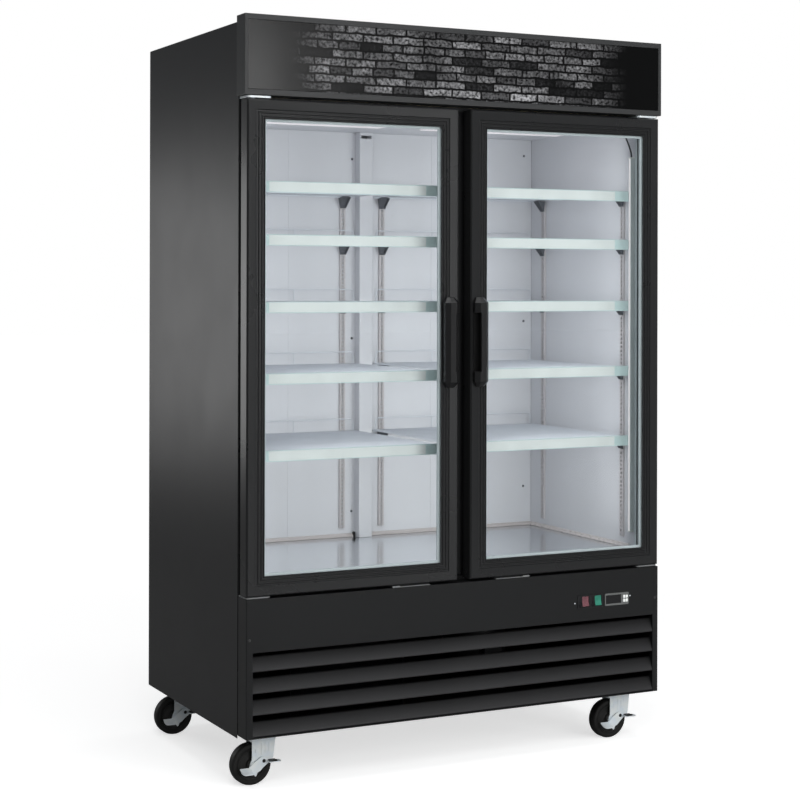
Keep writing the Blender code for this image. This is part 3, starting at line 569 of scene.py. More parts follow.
FINISHES = (
    painted("case_paint", (0.0075, 0.0078, 0.0088), 0.36),
    painted("panel_paint", (0.0066, 0.0069, 0.0074), 0.42),
    slat_paint_and_shade(),
    moulded("screen_black", (0.004, 0.004, 0.0042), 0.8, grain=350.0, depth=0.0004),
    painted("door_profile", (0.014, 0.0144, 0.015), 0.28, grain=700.0, depth=0.00001),
    painted("header_grey", (0.034, 0.035, 0.036), 0.33, grain=700.0, depth=0.00006),
    sign_print(),
    wall_sheet(),
    brushed("floor_steel", (0.62, 0.65, 0.69), 0.16, (3.0, 260.0, 3.0)),
    brushed("rail_metal", (0.62, 0.57, 0.56), 0.3, (3.0, 90.0, 400.0), 0.35),
    brushed("pilaster_metal", (0.56, 0.53, 0.54), 0.38, (400.0, 400.0, 6.0), 0.2),
    plated("zinc_plate", (0.78, 0.83, 0.86), 0.3),
    brushed("bright_bar", (0.5, 0.56, 0.58), 0.35, (6.0, 6.0, 6.0), 0.0),
    # A darker copy of the zinc plate, for zinc lying low under the doors: painted shade.
    plated("zinc_painted_shade", (0.2, 0.205, 0.21), 0.45),
    clear_pane(),
    moulded("door_seal", (0.02, 0.02, 0.021), 0.62),
    moulded("wire_coat", (0.62, 0.65, 0.7), 0.34, grain=500.0),
    moulded("strip_cover", (0.66, 0.82, 0.83), 0.28, grain=300.0),
    moulded("strip_label", (0.88, 0.92, 0.92), 0.34, grain=300.0),
    moulded("clip_grey", (0.085, 0.09, 0.105), 0.5),
    # Near-black for the handle notches and the rail gap: painted shade.
    moulded("painted_shade_black", (0.0015, 0.0015, 0.0016), 0.7),
    moulded("handle_black", (0.0095, 0.0095, 0.01), 0.36),
    moulded("switch_black", (0.01, 0.01, 0.011), 0.35),
    moulded("window_black", (0.004, 0.004, 0.005), 0.12, depth=0.00001),
    moulded("bezel_grey", (0.115, 0.12, 0.118), 0.42),
    rocker_lens("rocker_red", (0.16, 0.062, 0.075), 0.403),
    rocker_lens("rocker_green", (0.026, 0.19, 0.13), 0.447),
    moulded("key_white", (0.8, 0.82, 0.8), 0.4),
    glowing("lamp_cover", (0.9, 0.86, 0.87), 0.35, 0.35),
    glowing("strip_light", (0.88, 0.82, 0.84), 0.3, 0.4),
    moulded("trim_pale", (0.6, 0.66, 0.68), 0.35, grain=300.0),
    moulded("lead_black", (0.008, 0.008, 0.01), 0.45),
    moulded("foam_cream", (0.8, 0.7, 0.45), 0.85, grain=250.0, depth=0.0006),
    brushed("coil_fin", (0.1, 0.1, 0.105), 0.42, (40.0, 40.0, 300.0)),
    plated("copper", (0.72, 0.36, 0.22), 0.3),
    painted("can_black", (0.01, 0.01, 0.011), 0.3, grain=160.0, depth=0.0003),
    moulded("tread", (0.0085, 0.0082, 0.0078), 0.55, grain=600.0, depth=0.0001),
    moulded("hub", (0.012, 0.0118, 0.0112), 0.42),
    plated("screw_black", (0.05, 0.05, 0.052), 0.4),
)
FINISH = {finish.name: finish for finish in FINISHES}


# ---- fasteners ----------------------------------------------------------------------
def screws(name, places, axis, outward, finish, radius=0.0038, body="cabinet"):
    """Pan-head screws with a driver recess, one for each place, made one piece."""
    sign = 1 if outward > 0 else -1
    profile = [(0.0, 0.12), (0.3, 0.12), (0.38, 0.4), (0.8, 0.34), (1.0, 0.12), (1.0, 0.0)]
    profile = [(share * radius, sign * rise * radius) for share, rise in profile]
    first = turned(name, profile + [(0.0, 0.0)], places[0], axis, steps=14)
    copies = [first]
    for number, place in enumerate(places[1:]):
        copies.append(twin(first, f"{name}_{number}", Vector(place) - Vector(places[0])))
    return fit(assembled(name, copies), finish, body)


# ---- cabinet ------------------------------------------------------------------------
def make_case():
    low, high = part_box("outer_case")
    shell = block("case_shell", low, high)
    with shaping(shell):
        pick("FACE", lambda middle, normal: normal.y < -0.9 or normal.z < -0.9)
        bpy.ops.mesh.delete(type="FACE")
        pick("FACE", lambda middle, normal: normal.y > 0.9)
        bpy.ops.mesh.bisect(plane_co=(0, 0, MACHINE_TOP), plane_no=(0, 0, 1))
        pick("FACE", lambda middle, normal: normal.y > 0.9)
        bpy.ops.mesh.inset(thickness=0.016, depth=0.0, use_individual=True)
        # The foam lies right behind the upper sheet, so only the machine cover is set in.
        pick("FACE", lambda middle, normal: (
            normal.y > 0.9 and middle.z < MACHINE_TOP and abs(middle.x) < 0.1))
        bpy.ops.mesh.inset(thickness=0.0018, depth=-0.0018, use_individual=True)
        corner = high.x - 1e-4
        round_off(0.0035, 3, lambda m, way: (
            (abs(m.x) > corner and m.y > high.y - 1e-4 and abs(way.z) > 0.9)
            or (m.z > high.z - 1e-4 and (abs(m.x) > corner or m.y > high.y - 1e-4))
        ))
    thicken(shell, 0.001)
    inside = high.y - 0.0045
    screen = block("vent_screen", (-0.5, inside, 0.175), (0.5, inside + 0.001, 0.385))
    with shaping(screen):
        pick("FACE", lambda middle, normal: abs(normal.y) > 0.9)
        step_in((0.01, 0.0), (0.0015, 0.0004))
    fit(screen, "screen_black")
    slot = block("vent_slot", (-0.45, high.y - 0.01, 0.2), (-0.39, high.y + 0.01, 0.212))
    with shaping(slot):
        round_off(0.0055, 3, running("Y"))
    repeat(slot, 12, (0.0764, 0, 0))
    repeat(slot, 6, (0, 0, 0.03))
    carve(shell, slot)
    fit(shell, "case_paint", stands_for=["outer_case"])
    back = high.y - 0.0018
    places = [(x, back, z) for z in (0.178, 0.47) for x in (-0.61, -0.2, 0.2, 0.61)]
    screws("back_screws", places, "Y", 1, "screw_black")


def make_header():
    low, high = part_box("header_housing")
    profile = mm((0, 60), (0, 0), (10.5, 0), (10.5, 60))
    trim = mitred("header_trim", profile, (low.x, high.x), (low.z, high.z), 1.43)
    soften(trim, 0.0011, 3)
    fit(trim, "header_grey", stands_for=["header_housing"])
    inner = (high.x - 0.0108, low.z + 0.0153, high.z - 0.0153)
    back = block("header_back", (-inner[0], at(0.0585), inner[1]), (inner[0], at(0.06), inner[2]))
    soften(back, 0.0004)
    fit(back, "header_grey")
    dress("header_panel", "sign_print", 0.0006)
    for side, name in SIDES:
        cheek = mirrored_block(
            f"header_cheek_{name}", side, (high.x - 0.0012, at(0.016), low.z + 0.004),
            (high.x - 0.0001, at(0.056), high.z - 0.004),
        )
        soften(cheek, 0.0004)
        fit(cheek, "case_paint")
        places = [(side * (high.x - 0.0016), at(0.036), z) for z in (1.935, 2.045)]
        screws(f"header_screws_{name}", places, "X", side, "screw_black")


def make_front_frame():
    dress("front_frame", "door_profile", 0.0008)
    for side, name in SIDES:
        # Pale trim round the inside of each opening.
        x_range = sorted((side * 0.046, side * 0.63))
        trim = mm((0.2, 60.3), (1, 60.3), (1, 71.8), (0.2, 71.8))
        inner_sheet = mitred(f"opening_trim_{name}", trim, x_range, (0.562, 1.843))
        fit(inner_sheet, "trim_pale")
        # Thin metal stops under each door.
        near, far = (0.106, 0.213) if side > 0 else (0.109, 0.223)
        plate = mirrored_block(f"door_stop_{name}", side, (near, at(0.002), 0.5243),
                               (far, at(0.04), 0.5264))
        lug = mirrored_block(
            f"door_stop_lug_{name}", side, (far - 0.018, at(0.001), 0.5243),
            (far + 0.004, at(0.04), 0.529)
        )
        soften(plate, 0.0006)
        soften(lug, 0.0008)
        # The stops take the darker zinc copy: painted shade.
        fit(assembled(f"door_stop_{name}", [plate, lug]), "zinc_painted_shade")


# ---- lower panel --------------------------------------------------------------------
LOUVRE_HALF = 0.648
LOUVRE_TOP = 0.38
LOUVRE_LOWS = (0.152, 0.2105, 0.269, 0.3275)
CONTROL_Z = 0.437


def make_lower_panel():
    low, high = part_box("lower_panel")
    panel = block("panel_face", low, high)
    with shaping(panel):
        pick("FACE", lambda middle, normal: normal.y > 0.9)
        bpy.ops.mesh.delete(type="FACE")
        for x in (-LOUVRE_HALF, LOUVRE_HALF):
            pick("FACE", lambda middle, normal: normal.y < -0.9)
            bpy.ops.mesh.bisect(plane_co=(x, 0, 0), plane_no=(1, 0, 0))
        for z in (LOUVRE_TOP, low.z + 0.003):
            pick("FACE", lambda middle, normal: normal.y < -0.9)
            bpy.ops.mesh.bisect(plane_co=(0, 0, z), plane_no=(0, 0, 1))
        mid = (LOUVRE_TOP + low.z) / 2
        pick("FACE", lambda m, n: n.y < -0.9 and abs(m.x) < 0.1 and abs(m.z - mid) < 0.05)
        push((0, 0.02, 0))
        bpy.ops.mesh.delete(type="FACE")
        round_off(0.0022, 3, lambda m,
                  way: m.y < low.y + 1e-4 and (m.z > high.z - 1e-4 or abs(m.x) > high.x - 1e-4))
    thicken(panel, 0.0014)
    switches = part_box("switch_bezel")
    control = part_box("controller")
    for box in (switches, control):
        inset = 0.0012
        cutter = block(
            "control_hole", (box[0].x + inset, at(-0.01), box[0].z + inset),
            (box[1].x - inset, at(0.01), box[1].z - inset),
        )
        carve(panel, cutter)
    soften(panel, 0.0004, 2, 40)
    fit(panel, "panel_paint", stands_for=["lower_panel"])

    # One slat: tucked in at its top, sloping out to a rolled lower lip.
    base = LOUVRE_LOWS[0]
    outline = mm(
        (20, 40.5), (16.5, 40), (14, 38), (1.5, 6), (0.8, 3), (2, 0.8), (4.5, 0.2), (4.8, 1.6),
        (2.8, 2.2), (2.2, 3.4), (3, 5.8), (15.3, 37), (17.2, 38.6), (20, 39.1),
    )
    points = [(at(depth), base + rise) for depth, rise in outline]
    slat = drawn_out("louvre_slat_1", points, "X", -LOUVRE_HALF + 0.0004, LOUVRE_HALF - 0.0004)
    slats = [slat]
    for number, lowest in enumerate(LOUVRE_LOWS[1:], start=2):
        slats.append(twin(slat, f"louvre_slat_{number}", (0, 0, lowest - base)))
    for slat in slats:
        fit(slat, "slat_paint_and_shade", smooth=50)
    places = [(-0.658, at(0), 0.415), (0.656, at(0), 0.43)]
    screws("panel_screws", places, "Y", -1, "screw_black", 0.0042)
    places = [(0.372, at(0), 0.434), (0.566, at(0), 0.443)]
    screws("control_screws", places, "Y", -1, "zinc_plate", 0.002)


def make_controls():
    dress("switch_bezel", "switch_black", 0.0006)
    dress("rocker_red", "rocker_red", 0.0012)
    dress("rocker_green", "rocker_green", 0.0012)
    for number in range(1, 5):
        dress(f"controller_button_{number}", "key_white", 0.0008)

    low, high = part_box("controller")
    mid = (low.z + high.z) / 2
    half = (high.z - low.z) / 2
    face = block("controller_face", low, (high.x, at(-0.0003), high.z))
    body = block("controller_body", (low.x + 0.0035, at(-0.0005), mid - half + 0.0035),
                 (high.x - 0.0035, high.y, mid + half - 0.0035))
    with shaping(face):
        round_off(0.003, 3, running("Y"))
    window_end = low.x + 0.057
    window = block("controller_pocket", (low.x + 0.003, low.y - 0.01, mid - 0.013),
                   (window_end, low.y + 0.0011, mid + 0.013))
    carve(face, window)
    for number in range(1, 5):
        key_low, key_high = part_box(f"controller_button_{number}")
        gap = 0.0004
        hole = block("key_hole", (key_low.x - gap, low.y - 0.01, key_low.z - gap),
                     (key_high.x + gap, high.y, key_high.z + gap))
        carve(face, hole)
        hole = block("key_hole", (key_low.x - gap, low.y - 0.01, key_low.z - gap),
                     (key_high.x + gap, at(0.0018), key_high.z + gap))
        carve(body, hole)
    soften(face, 0.0005)
    soften(body, 0.0006)
    fit(face, "bezel_grey", stands_for=["controller"])
    fit(body, "switch_black")
    glass = block("controller_window", (low.x + 0.0035, low.y + 0.0004, mid - 0.0125),
                  (window_end - 0.0005, low.y + 0.001, mid + 0.0125))
    soften(glass, 0.0003)
    fit(glass, "window_black")


# ---- doors --------------------------------------------------------------------------
def make_door(side, name):
    body = f"{name}_door"
    low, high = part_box(f"door_{name}_frame")
    x_range, z_range = (low.x, high.x), (low.z, high.z)
    profile = mm(
        (0, 46), (0, 5), (4, 0), (28, 2.2), (29.5, 5.2), (33.5, 5.2), (35, 2.6), (37.5, 2.6),
        (39, 5.6), (43, 5.6), (44.5, 3), (47, 3), (48.2, 5.8), (50.8, 5.8), (52, 3.4), (54, 3.4),
        (54, 8.5), (46, 8.5), (46, 24.5), (52, 24.5), (44, 46),
    )
    ring = mitred(f"door_ring_{name}", profile, x_range, z_range)
    soften(ring, 0.0006, 2, 25)
    fit(ring, "door_profile", body, [f"door_{name}_frame"], smooth=28)

    bellows = mm(
        (10, 46.5), (33.5, 46.5), (33.5, 49.5), (31.2, 51.5), (33.5, 53.8), (33.8, 56.8),
        (31, 59.4), (20.5, 59.4), (18.8, 58), (13.5, 53.5), (14, 51.2), (10, 50),
    )
    seal = mitred(f"door_seal_{name}", bellows, x_range, z_range)
    soften(seal, 0.0006, 2, 25)
    fit(seal, "door_seal", body, [f"door_{name}_gasket"])

    edge = 0.0466
    for place, near, far in (("front", 0.0089, 0.0129), ("back", 0.0201, 0.0241)):
        pane = block(
            f"pane_{place}_{name}", (low.x + edge, at(near), low.z + edge),
            (high.x - edge, at(far), high.z - edge),
        )
        soften(pane, 0.0005)
        replaced = [f"door_{name}_glass"] if place == "front" else ()
        fit(pane, "clear_pane", body, replaced)
    bar = mm((47.5, 13.1), (59.4, 13.1), (60.2, 14), (60.2, 19), (59.4, 19.9), (47.5, 19.9))
    spacer = mitred(f"pane_spacer_{name}", bar, x_range, z_range)
    fit(spacer, "bright_bar", body)
    make_handle(side, name, body)


def make_handle(side, name, body):
    """Long grip: a bar with chamfered shoulders, drawn in at both ends, with a finger notch."""
    low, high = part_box(f"door_{name}_handle")
    shoulder = 0.016
    chamfer = 0.012
    mid = (low.x + high.x) / 2
    grip = block(f"grip_{name}", (low.x, low.y, low.z + shoulder),
                 (high.x, high.y, high.z - shoulder))
    with shaping(grip):
        round_off(chamfer, 1, lambda middle, way: abs(way.z) > 0.9 and middle.y < low.y + 1e-4)
        for up, end in ((1, high.z), (-1, low.z)):
            pick("FACE", lambda middle, normal: normal.z * up > 0.9)
            push((0, 0, up * shoulder))
            bpy.ops.transform.resize(value=(0.56, 0.32, 1.0), center_override=(mid, high.y, end))
    inner = low.x if side > 0 else high.x
    for deep, front in ((0.015, low.y - 0.01), (0.024, low.y + 0.009)):
        x = sorted((inner - side * 0.01, inner + side * deep))
        notch = block("finger_notch", (x[0], front, low.z + 0.044),
                      (x[1], high.y - 0.004, high.z - 0.044))
        carve(grip, notch)
    soften(grip, 0.001, 3, 22)
    # A near-black sheet on the back of each finger notch: painted shade for the dark notch.
    x = sorted((inner + side * 0.0006, inner + side * 0.0236))
    inner_sheet = block(f"grip_notch_shade_{name}", (x[0], high.y - 0.0042, low.z + 0.0446),
                   (x[1], high.y - 0.0034, high.z - 0.0446))
    soften(inner_sheet, 0.0002)
    fit(inner_sheet, "painted_shade_black", body)
    fit(grip, "handle_black", body, [f"door_{name}_handle"], smooth=40)


def make_hinge(side, name):
    """Rounded plates, the pin the door turns on and its washer."""
    axis = (side * HINGE_X, at(HINGE_DEPTH), 0)
    near, far = 0.594, 0.666
    for place, low, high, pin in (
        ("top", 1.8745, 1.8805, (1.86, 1.876)), ("bottom", 0.525, 0.529, (0.527, 0.542)),
    ):
        plate = mirrored_block(f"hinge_plate_{name}_{place}", side, (near, at(0.004), low),
                               (far, at(0.0597), high))
        with shaping(plate):
            round_off(0.01, 5, lambda middle, way: abs(way.z) > 0.9 and middle.y < at(0.02))
        soften(plate, 0.0008)
        post = turned("hinge_post",
                      [(0, pin[0]), (0.0044, pin[0]), (0.005, pin[0] + 0.0006), (0.005, pin[1]),
                       (0, pin[1])],
                      axis, "Z", 20)
        parts = [plate, post]
        if place == "top":
            washer = turned("hinge_washer",
                            [(0.0052, 1.8723), (0.0105, 1.8723), (0.0105, 1.8744),
                             (0.0052, 1.8744)],
                            axis, "Z", 24)
            parts.append(washer)
        hinge = assembled(f"hinge_plate_{name}_{place}", parts)
        # The bottom plates take the darker zinc copy: painted shade, as they lie in shade under the
        # doors.
        metal = "zinc_plate" if place == "top" else "zinc_painted_shade"
        fit(hinge, metal, stands_for=[f"hinge_{name}_{place}"])


# ---- cold space ---------------------------------------------------------------------
LEVELS = tuple(
    sum(corner.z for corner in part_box(f"shelf_right_{number}")) / 2 for number in range(1, 6)
)
STRIP_TOP = 0.0155
DECK_RISE = 0.0115
PILASTER_LOW = 0.6
PILASTER_HIGH = 1.64
SLOT_PITCH = 0.0125
CHANNEL_HALF = 0.023
CHANNEL_RISE = 0.034


def make_walls():
    dress("inner_liner", "wall_sheet")
    dress("floor_plate", "floor_steel")
    dress("insulation", "foam_cream")
    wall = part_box("rear_duct_cover")
    back = at(BACK_WALL)
    panel = block("rear_wall", (wall[0].x, back, wall[0].z), (wall[1].x, back + 0.001, wall[1].z))
    with shaping(panel):
        for x in (-CHANNEL_HALF, CHANNEL_HALF):
            bpy.ops.mesh.select_all(action="SELECT")
            bpy.ops.mesh.bisect(plane_co=(x, 0, 0), plane_no=(1, 0, 0))
        pick("FACE", lambda m, n: n.y < -0.9 and abs(m.x) < 0.01)
        bpy.ops.mesh.inset(thickness=0.0001, depth=0.0)
        push((0, -CHANNEL_RISE, 0))
        round_off(0.002, 3, lambda m, way: abs(way.z) > 0.9 and m.y < back - CHANNEL_RISE + 0.001)
    mouth = block("duct_mouth", (-0.018, back - 0.05, wall[1].z - 0.02),
                  (0.018, back + 0.01, wall[1].z - 0.01))
    carve(panel, mouth)
    fit(panel, "wall_sheet", stands_for=["rear_duct_cover"])
    seams = []
    for x in (-0.252, 0.252):
        seam = block("wall_seam", (x - 0.0016, back - 0.0009, wall[0].z + 0.012),
                     (x + 0.0016, back + 0.0005, wall[1].z))
        seams.append(soften(seam, 0.0006))
    fit(assembled("wall_seams", seams), "wall_sheet")
    places = [(-0.034, back, z) for z in (0.651, 1.2, 1.769)]
    places += [(x, back, z) for x in (-0.6, 0.6) for z in (0.7, 1.25, 1.8)]
    screws("wall_screws", places, "Y", -1, "clip_grey", 0.0042)

    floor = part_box("floor_plate")[1].z
    rise = mm((0, 0.4), (10, 0.4), (8.8, 4), (6, 5.2), (5, 8.5), (2.5, 11.2), (0, 11.8))
    for side, name in SIDES:
        ends = sorted((side * 0.031, side * 0.6295))
        rail = drawn_out(f"floor_rail_back_{name}", [(back - d, floor + z) for d, z in rise], "X",
                         *ends)
        soften(rail, 0.0006, 2, 20)
        fit(rail, "rail_metal")
        points = [(side * (0.63 - d), floor + z) for d, z in rise]
        rail = drawn_out(f"floor_rail_side_{name}", points, "Y", at(0.095), back - 0.011)
        soften(rail, 0.0006, 2, 20)
        fit(rail, "rail_metal")


def make_rail_gap_shade():
    """A near-black block beside the duct, at the left rail's end: painted shade for the dark gap
    between the rails.
    """
    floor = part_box("floor_plate")[1].z
    end_block = block("rail_gap_shade", (-0.0305, at(0.669), floor + 0.0004),
                (-0.0245, at(0.6806), floor + 0.016))
    soften(end_block, 0.0012)
    fit(end_block, "painted_shade_black")


def pilaster_strip():
    """A folded strip with a column of slots, standing on the plane y = 0 and facing -Y."""
    bpy.ops.object.select_all(action="DESELECT")
    bpy.ops.mesh.primitive_grid_add(x_subdivisions=3, y_subdivisions=3, size=1,
                                    rotation=(math.pi / 2, 0, 0))
    strip = settled("pilaster_strip")
    across = (-0.0095, -0.003, 0.003, 0.0095)
    along = (0.0, 0.0032, 0.0098, SLOT_PITCH)
    proud = 0.0068
    for vert in strip.data.vertices:
        column = round((vert.co.x + 0.5) * 3)
        row = round((vert.co.z + 0.5) * 3)
        vert.co = (across[column], -proud, PILASTER_LOW + along[row])
    with shaping(strip):
        pick("FACE", lambda m,
             n: abs(m.x) < 0.001 and abs(m.z - PILASTER_LOW - SLOT_PITCH / 2) < 0.001)
        bpy.ops.mesh.delete(type="FACE")
        for x in (-0.0095, 0.0095):
            pick("EDGE", lambda m, way: abs(m.x - x) < 1e-5 and abs(way.z) > 0.9)
            push((0, proud, 0))
    count = round((PILASTER_HIGH - PILASTER_LOW) / SLOT_PITCH)
    repeat(strip, count, (0, 0, SLOT_PITCH))
    with shaping(strip):
        clean()
        pick("FACE", lambda middle, normal: True)
        bm = bmesh.from_edit_mesh(strip.data)
        if any(face.normal.y > 0.5 for face in bm.faces):
            bpy.ops.mesh.flip_normals()
        for x in (-0.0095, 0.0095):
            round_off(0.0012, 2, lambda m,
                      way: abs(m.x - x) < 1e-5 and m.y < -proud + 1e-5 and abs(way.z) > 0.9)
    return thicken(strip, 0.0009)


def shelf_clip():
    """A pressed bracket, wide at its top; its back is on y = 0 and its top at z = 0."""
    half, reach, drop = 0.0165, 0.027, 0.034
    clip = block("shelf_clip", (-half, -reach, -drop), (half, -0.0003, 0))
    with shaping(clip):
        pick("FACE", lambda middle, normal: normal.z < -0.9)
        bpy.ops.transform.resize(value=(0.62, 0.1, 1.0), center_override=(0, -0.0003, -drop))
        pick("FACE", lambda middle, normal: normal.y < -0.3)
        step_in((0.0022, 0.0), (0.0006, -0.009))
        pick("FACE", lambda middle, normal: abs(normal.x) > 0.8 and abs(middle.x) > half * 0.75)
        bpy.ops.mesh.inset(thickness=0.004, depth=0.0, use_individual=True)
        bpy.ops.mesh.inset(thickness=0.0004, depth=-0.0016, use_individual=True)
    return soften(clip, 0.0005)


def make_supports():
    strip = pilaster_strip()
    clip = shelf_clip()
    quarter = math.pi / 2
    stands = [("back_left", (-0.069, at(BACK_WALL), 0), 0.0),
              ("back_right", (0.069, at(BACK_WALL), 0), 0.0)]
    stands += [("post_left", (-0.0145, at(0.0842), 0), math.pi),
               ("post_right", (0.0145, at(0.0842), 0), math.pi)]
    for side, name in SIDES:
        for place, depth in (("front", 0.134), ("rear", 0.598)):
            stands.append((f"{place}_{name}", (side * 0.63, at(depth), 0), -side * quarter))
    for name, foot, turn in stands:
        fit(twin(strip, f"pilaster_{name}", foot, turn), "pilaster_metal")
        # The bracket stands on the strip's face, out from the wall.
        if name.startswith("post"):
            continue
        out = Matrix.Rotation(turn, 3, "Z") @ Vector((0, -0.007, 0))
        for number, level in enumerate(LEVELS, start=1):
            top = Vector((0, 0, level + DECK_RISE - 0.0062))
            bracket = twin(clip, f"clip_{name}_{number}", Vector(foot) + out + top, turn)
            fit(bracket, "clip_grey")
    put_away(strip, clip)


def make_shelves():
    low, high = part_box("shelf_right_1")
    inner, outer = low.x, high.x
    level = LEVELS[0]
    deck = level + DECK_RISE
    front, rear = low.y + 0.003, high.y - 0.002
    wire = 0.0016
    bar = 0.0025

    # Front strip: a shallow channel that holds a paler label.
    strip_outline = [(0.0, -1.0), (0.0022, -1.0), (0.003, -0.86), (0.003, 0.86), (0.0022, 1.0),
                     (0.0, 1.0)]
    strip_outline += [(0.0, 0.93), (0.0009, 0.88), (0.0009, -0.88), (0.0, -0.93)]
    points = [(low.y + depth, level + share * STRIP_TOP) for depth, share in strip_outline]
    channel = drawn_out("strip_channel", points, "X", inner, outer)
    with shaping(channel):
        round_off(0.005, 4, lambda m,
                  way: abs(way.y) > 0.9 and (m.x < inner + 1e-4 or m.x > outer - 1e-4)
             and abs(m.z - level) > STRIP_TOP - 1e-4)
    label = block("strip_label", (inner + 0.05, low.y + 0.0003, level - 0.0136),
                  (outer - 0.055, low.y + 0.0009, level + 0.0136))
    soften(label, 0.0002)

    # Deck: long wires from front to rear on cross bars, with a fence at the rear.
    first = rod("deck_wire", (inner + 0.006, front, deck - wire),
                (inner + 0.006, rear, deck - wire), wire, 6)
    count = 46
    pitch = (outer - inner - 0.012) / (count - 1)
    parts = [repeat(first, count, (pitch, 0, 0))]
    for depth in (0.006, 0.19, 0.385, 0.574):
        y = front + depth
        z = deck - 2 * wire - bar
        parts.append(rod("deck_bar", (inner + 0.002, y, z), (outer - 0.002, y, z), bar, 8))
    for x in (inner + 0.003, outer - 0.003):
        parts.append(rod("deck_side", (x, front, deck - wire - 0.001),
                         (x, rear, deck - wire - 0.001), bar, 8))
    top = deck + 0.036
    y = rear - 0.004
    corner = 0.01
    loop = [(inner + 0.01, y, deck - 0.002), (inner + 0.01, y, top - corner)]
    loop += [(inner + 0.013, y, top - 0.003), (inner + 0.01 + corner, y, top)]
    loop += [(outer - 0.01 - corner, y, top), (outer - 0.013, y, top - 0.003)]
    loop += [(outer - 0.01, y, top - corner), (outer - 0.01, y, deck - 0.002)]
    parts.append(bent_rod("deck_fence", loop, 0.0018, 1))
    for share in (0.36, 0.68):
        x = inner + share * (outer - inner)
        parts.append(rod("fence_post", (x, y, deck - 0.002), (x, y, top), 0.0014, 6))
    grid = assembled("wire_deck", parts)

    for side, name in SIDES:
        for number, height in enumerate(LEVELS, start=1):
            move = (0, 0, height - level)
            flip = side < 0
            piece = twin(grid, f"wire_deck_{name}_{number}", move, flip=flip)
            fit(piece, "wire_coat", stands_for=[f"shelf_{name}_{number}"])
            piece = twin(channel, f"price_strip_{name}_{number}", move, flip=flip)
            fit(piece, "strip_cover")
            piece = twin(label, f"price_label_{name}_{number}", move, flip=flip)
            fit(piece, "strip_label")
    put_away(grid, channel, label)


def make_lamps():
    for side, name in SIDES:
        low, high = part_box(f"lamp_{name}")
        inside, wall = (low.x, high.x) if side > 0 else (high.x, low.x)
        depth = high.y - low.y
        outline = [(wall, low.y), (wall, high.y), (inside + side * 0.004, high.y),
                   (inside + side * 0.0025, high.y - 0.0006)]
        outline += [(inside + side * 0.007, low.y + depth * 0.5),
                    (inside + side * 0.0025, low.y + 0.0006)]
        outline += [(inside + side * 0.004, low.y)]
        channel = drawn_out(f"lamp_channel_{name}", outline, "Z", low.z + 0.004, high.z - 0.004)
        soften(channel, 0.0004)
        fit(channel, "trim_pale", stands_for=[f"lamp_{name}"])
        arc = []
        for step in range(9):
            angle = math.pi * step / 8
            arc.append((inside + side * (0.0052 - 0.005 * math.sin(angle)),
                        (low.y + high.y) / 2 - (depth / 2 - 0.0007) * math.cos(angle)))
        arc += [(inside + side * 0.0075, high.y - 0.002), (inside + side * 0.0075, low.y + 0.002)]
        cover = drawn_out(f"lamp_diffuser_{name}", arc, "Z", low.z + 0.0042, high.z - 0.0042)
        fit(cover, "lamp_cover", smooth=50)
        caps = [
            block("lamp_cap", (min(inside, wall), low.y, z),
                  (max(inside, wall), high.y, z + 0.004))
            for z in (low.z, high.z - 0.004)
        ]
        for end_block in caps:
            soften(end_block, 0.0008)
        fit(assembled(f"lamp_caps_{name}", caps), "key_white")
    dress("lamp_lead", "lead_black")
    for name, ends in (("left", (-0.56, -0.07)), ("right", (0.07, 0.56))):
        strip = block(f"ceiling_strip_{name}", (ends[0], at(0.33), CEILING - 0.0085),
                      (ends[1], at(0.416), CEILING - 0.0006))
        with shaping(strip):
            pick("FACE", lambda middle, normal: normal.z < -0.9)
            step_in((0.004, 0.0), (0.001, -0.0012))
        soften(strip, 0.0012)
        fit(strip, "strip_light")


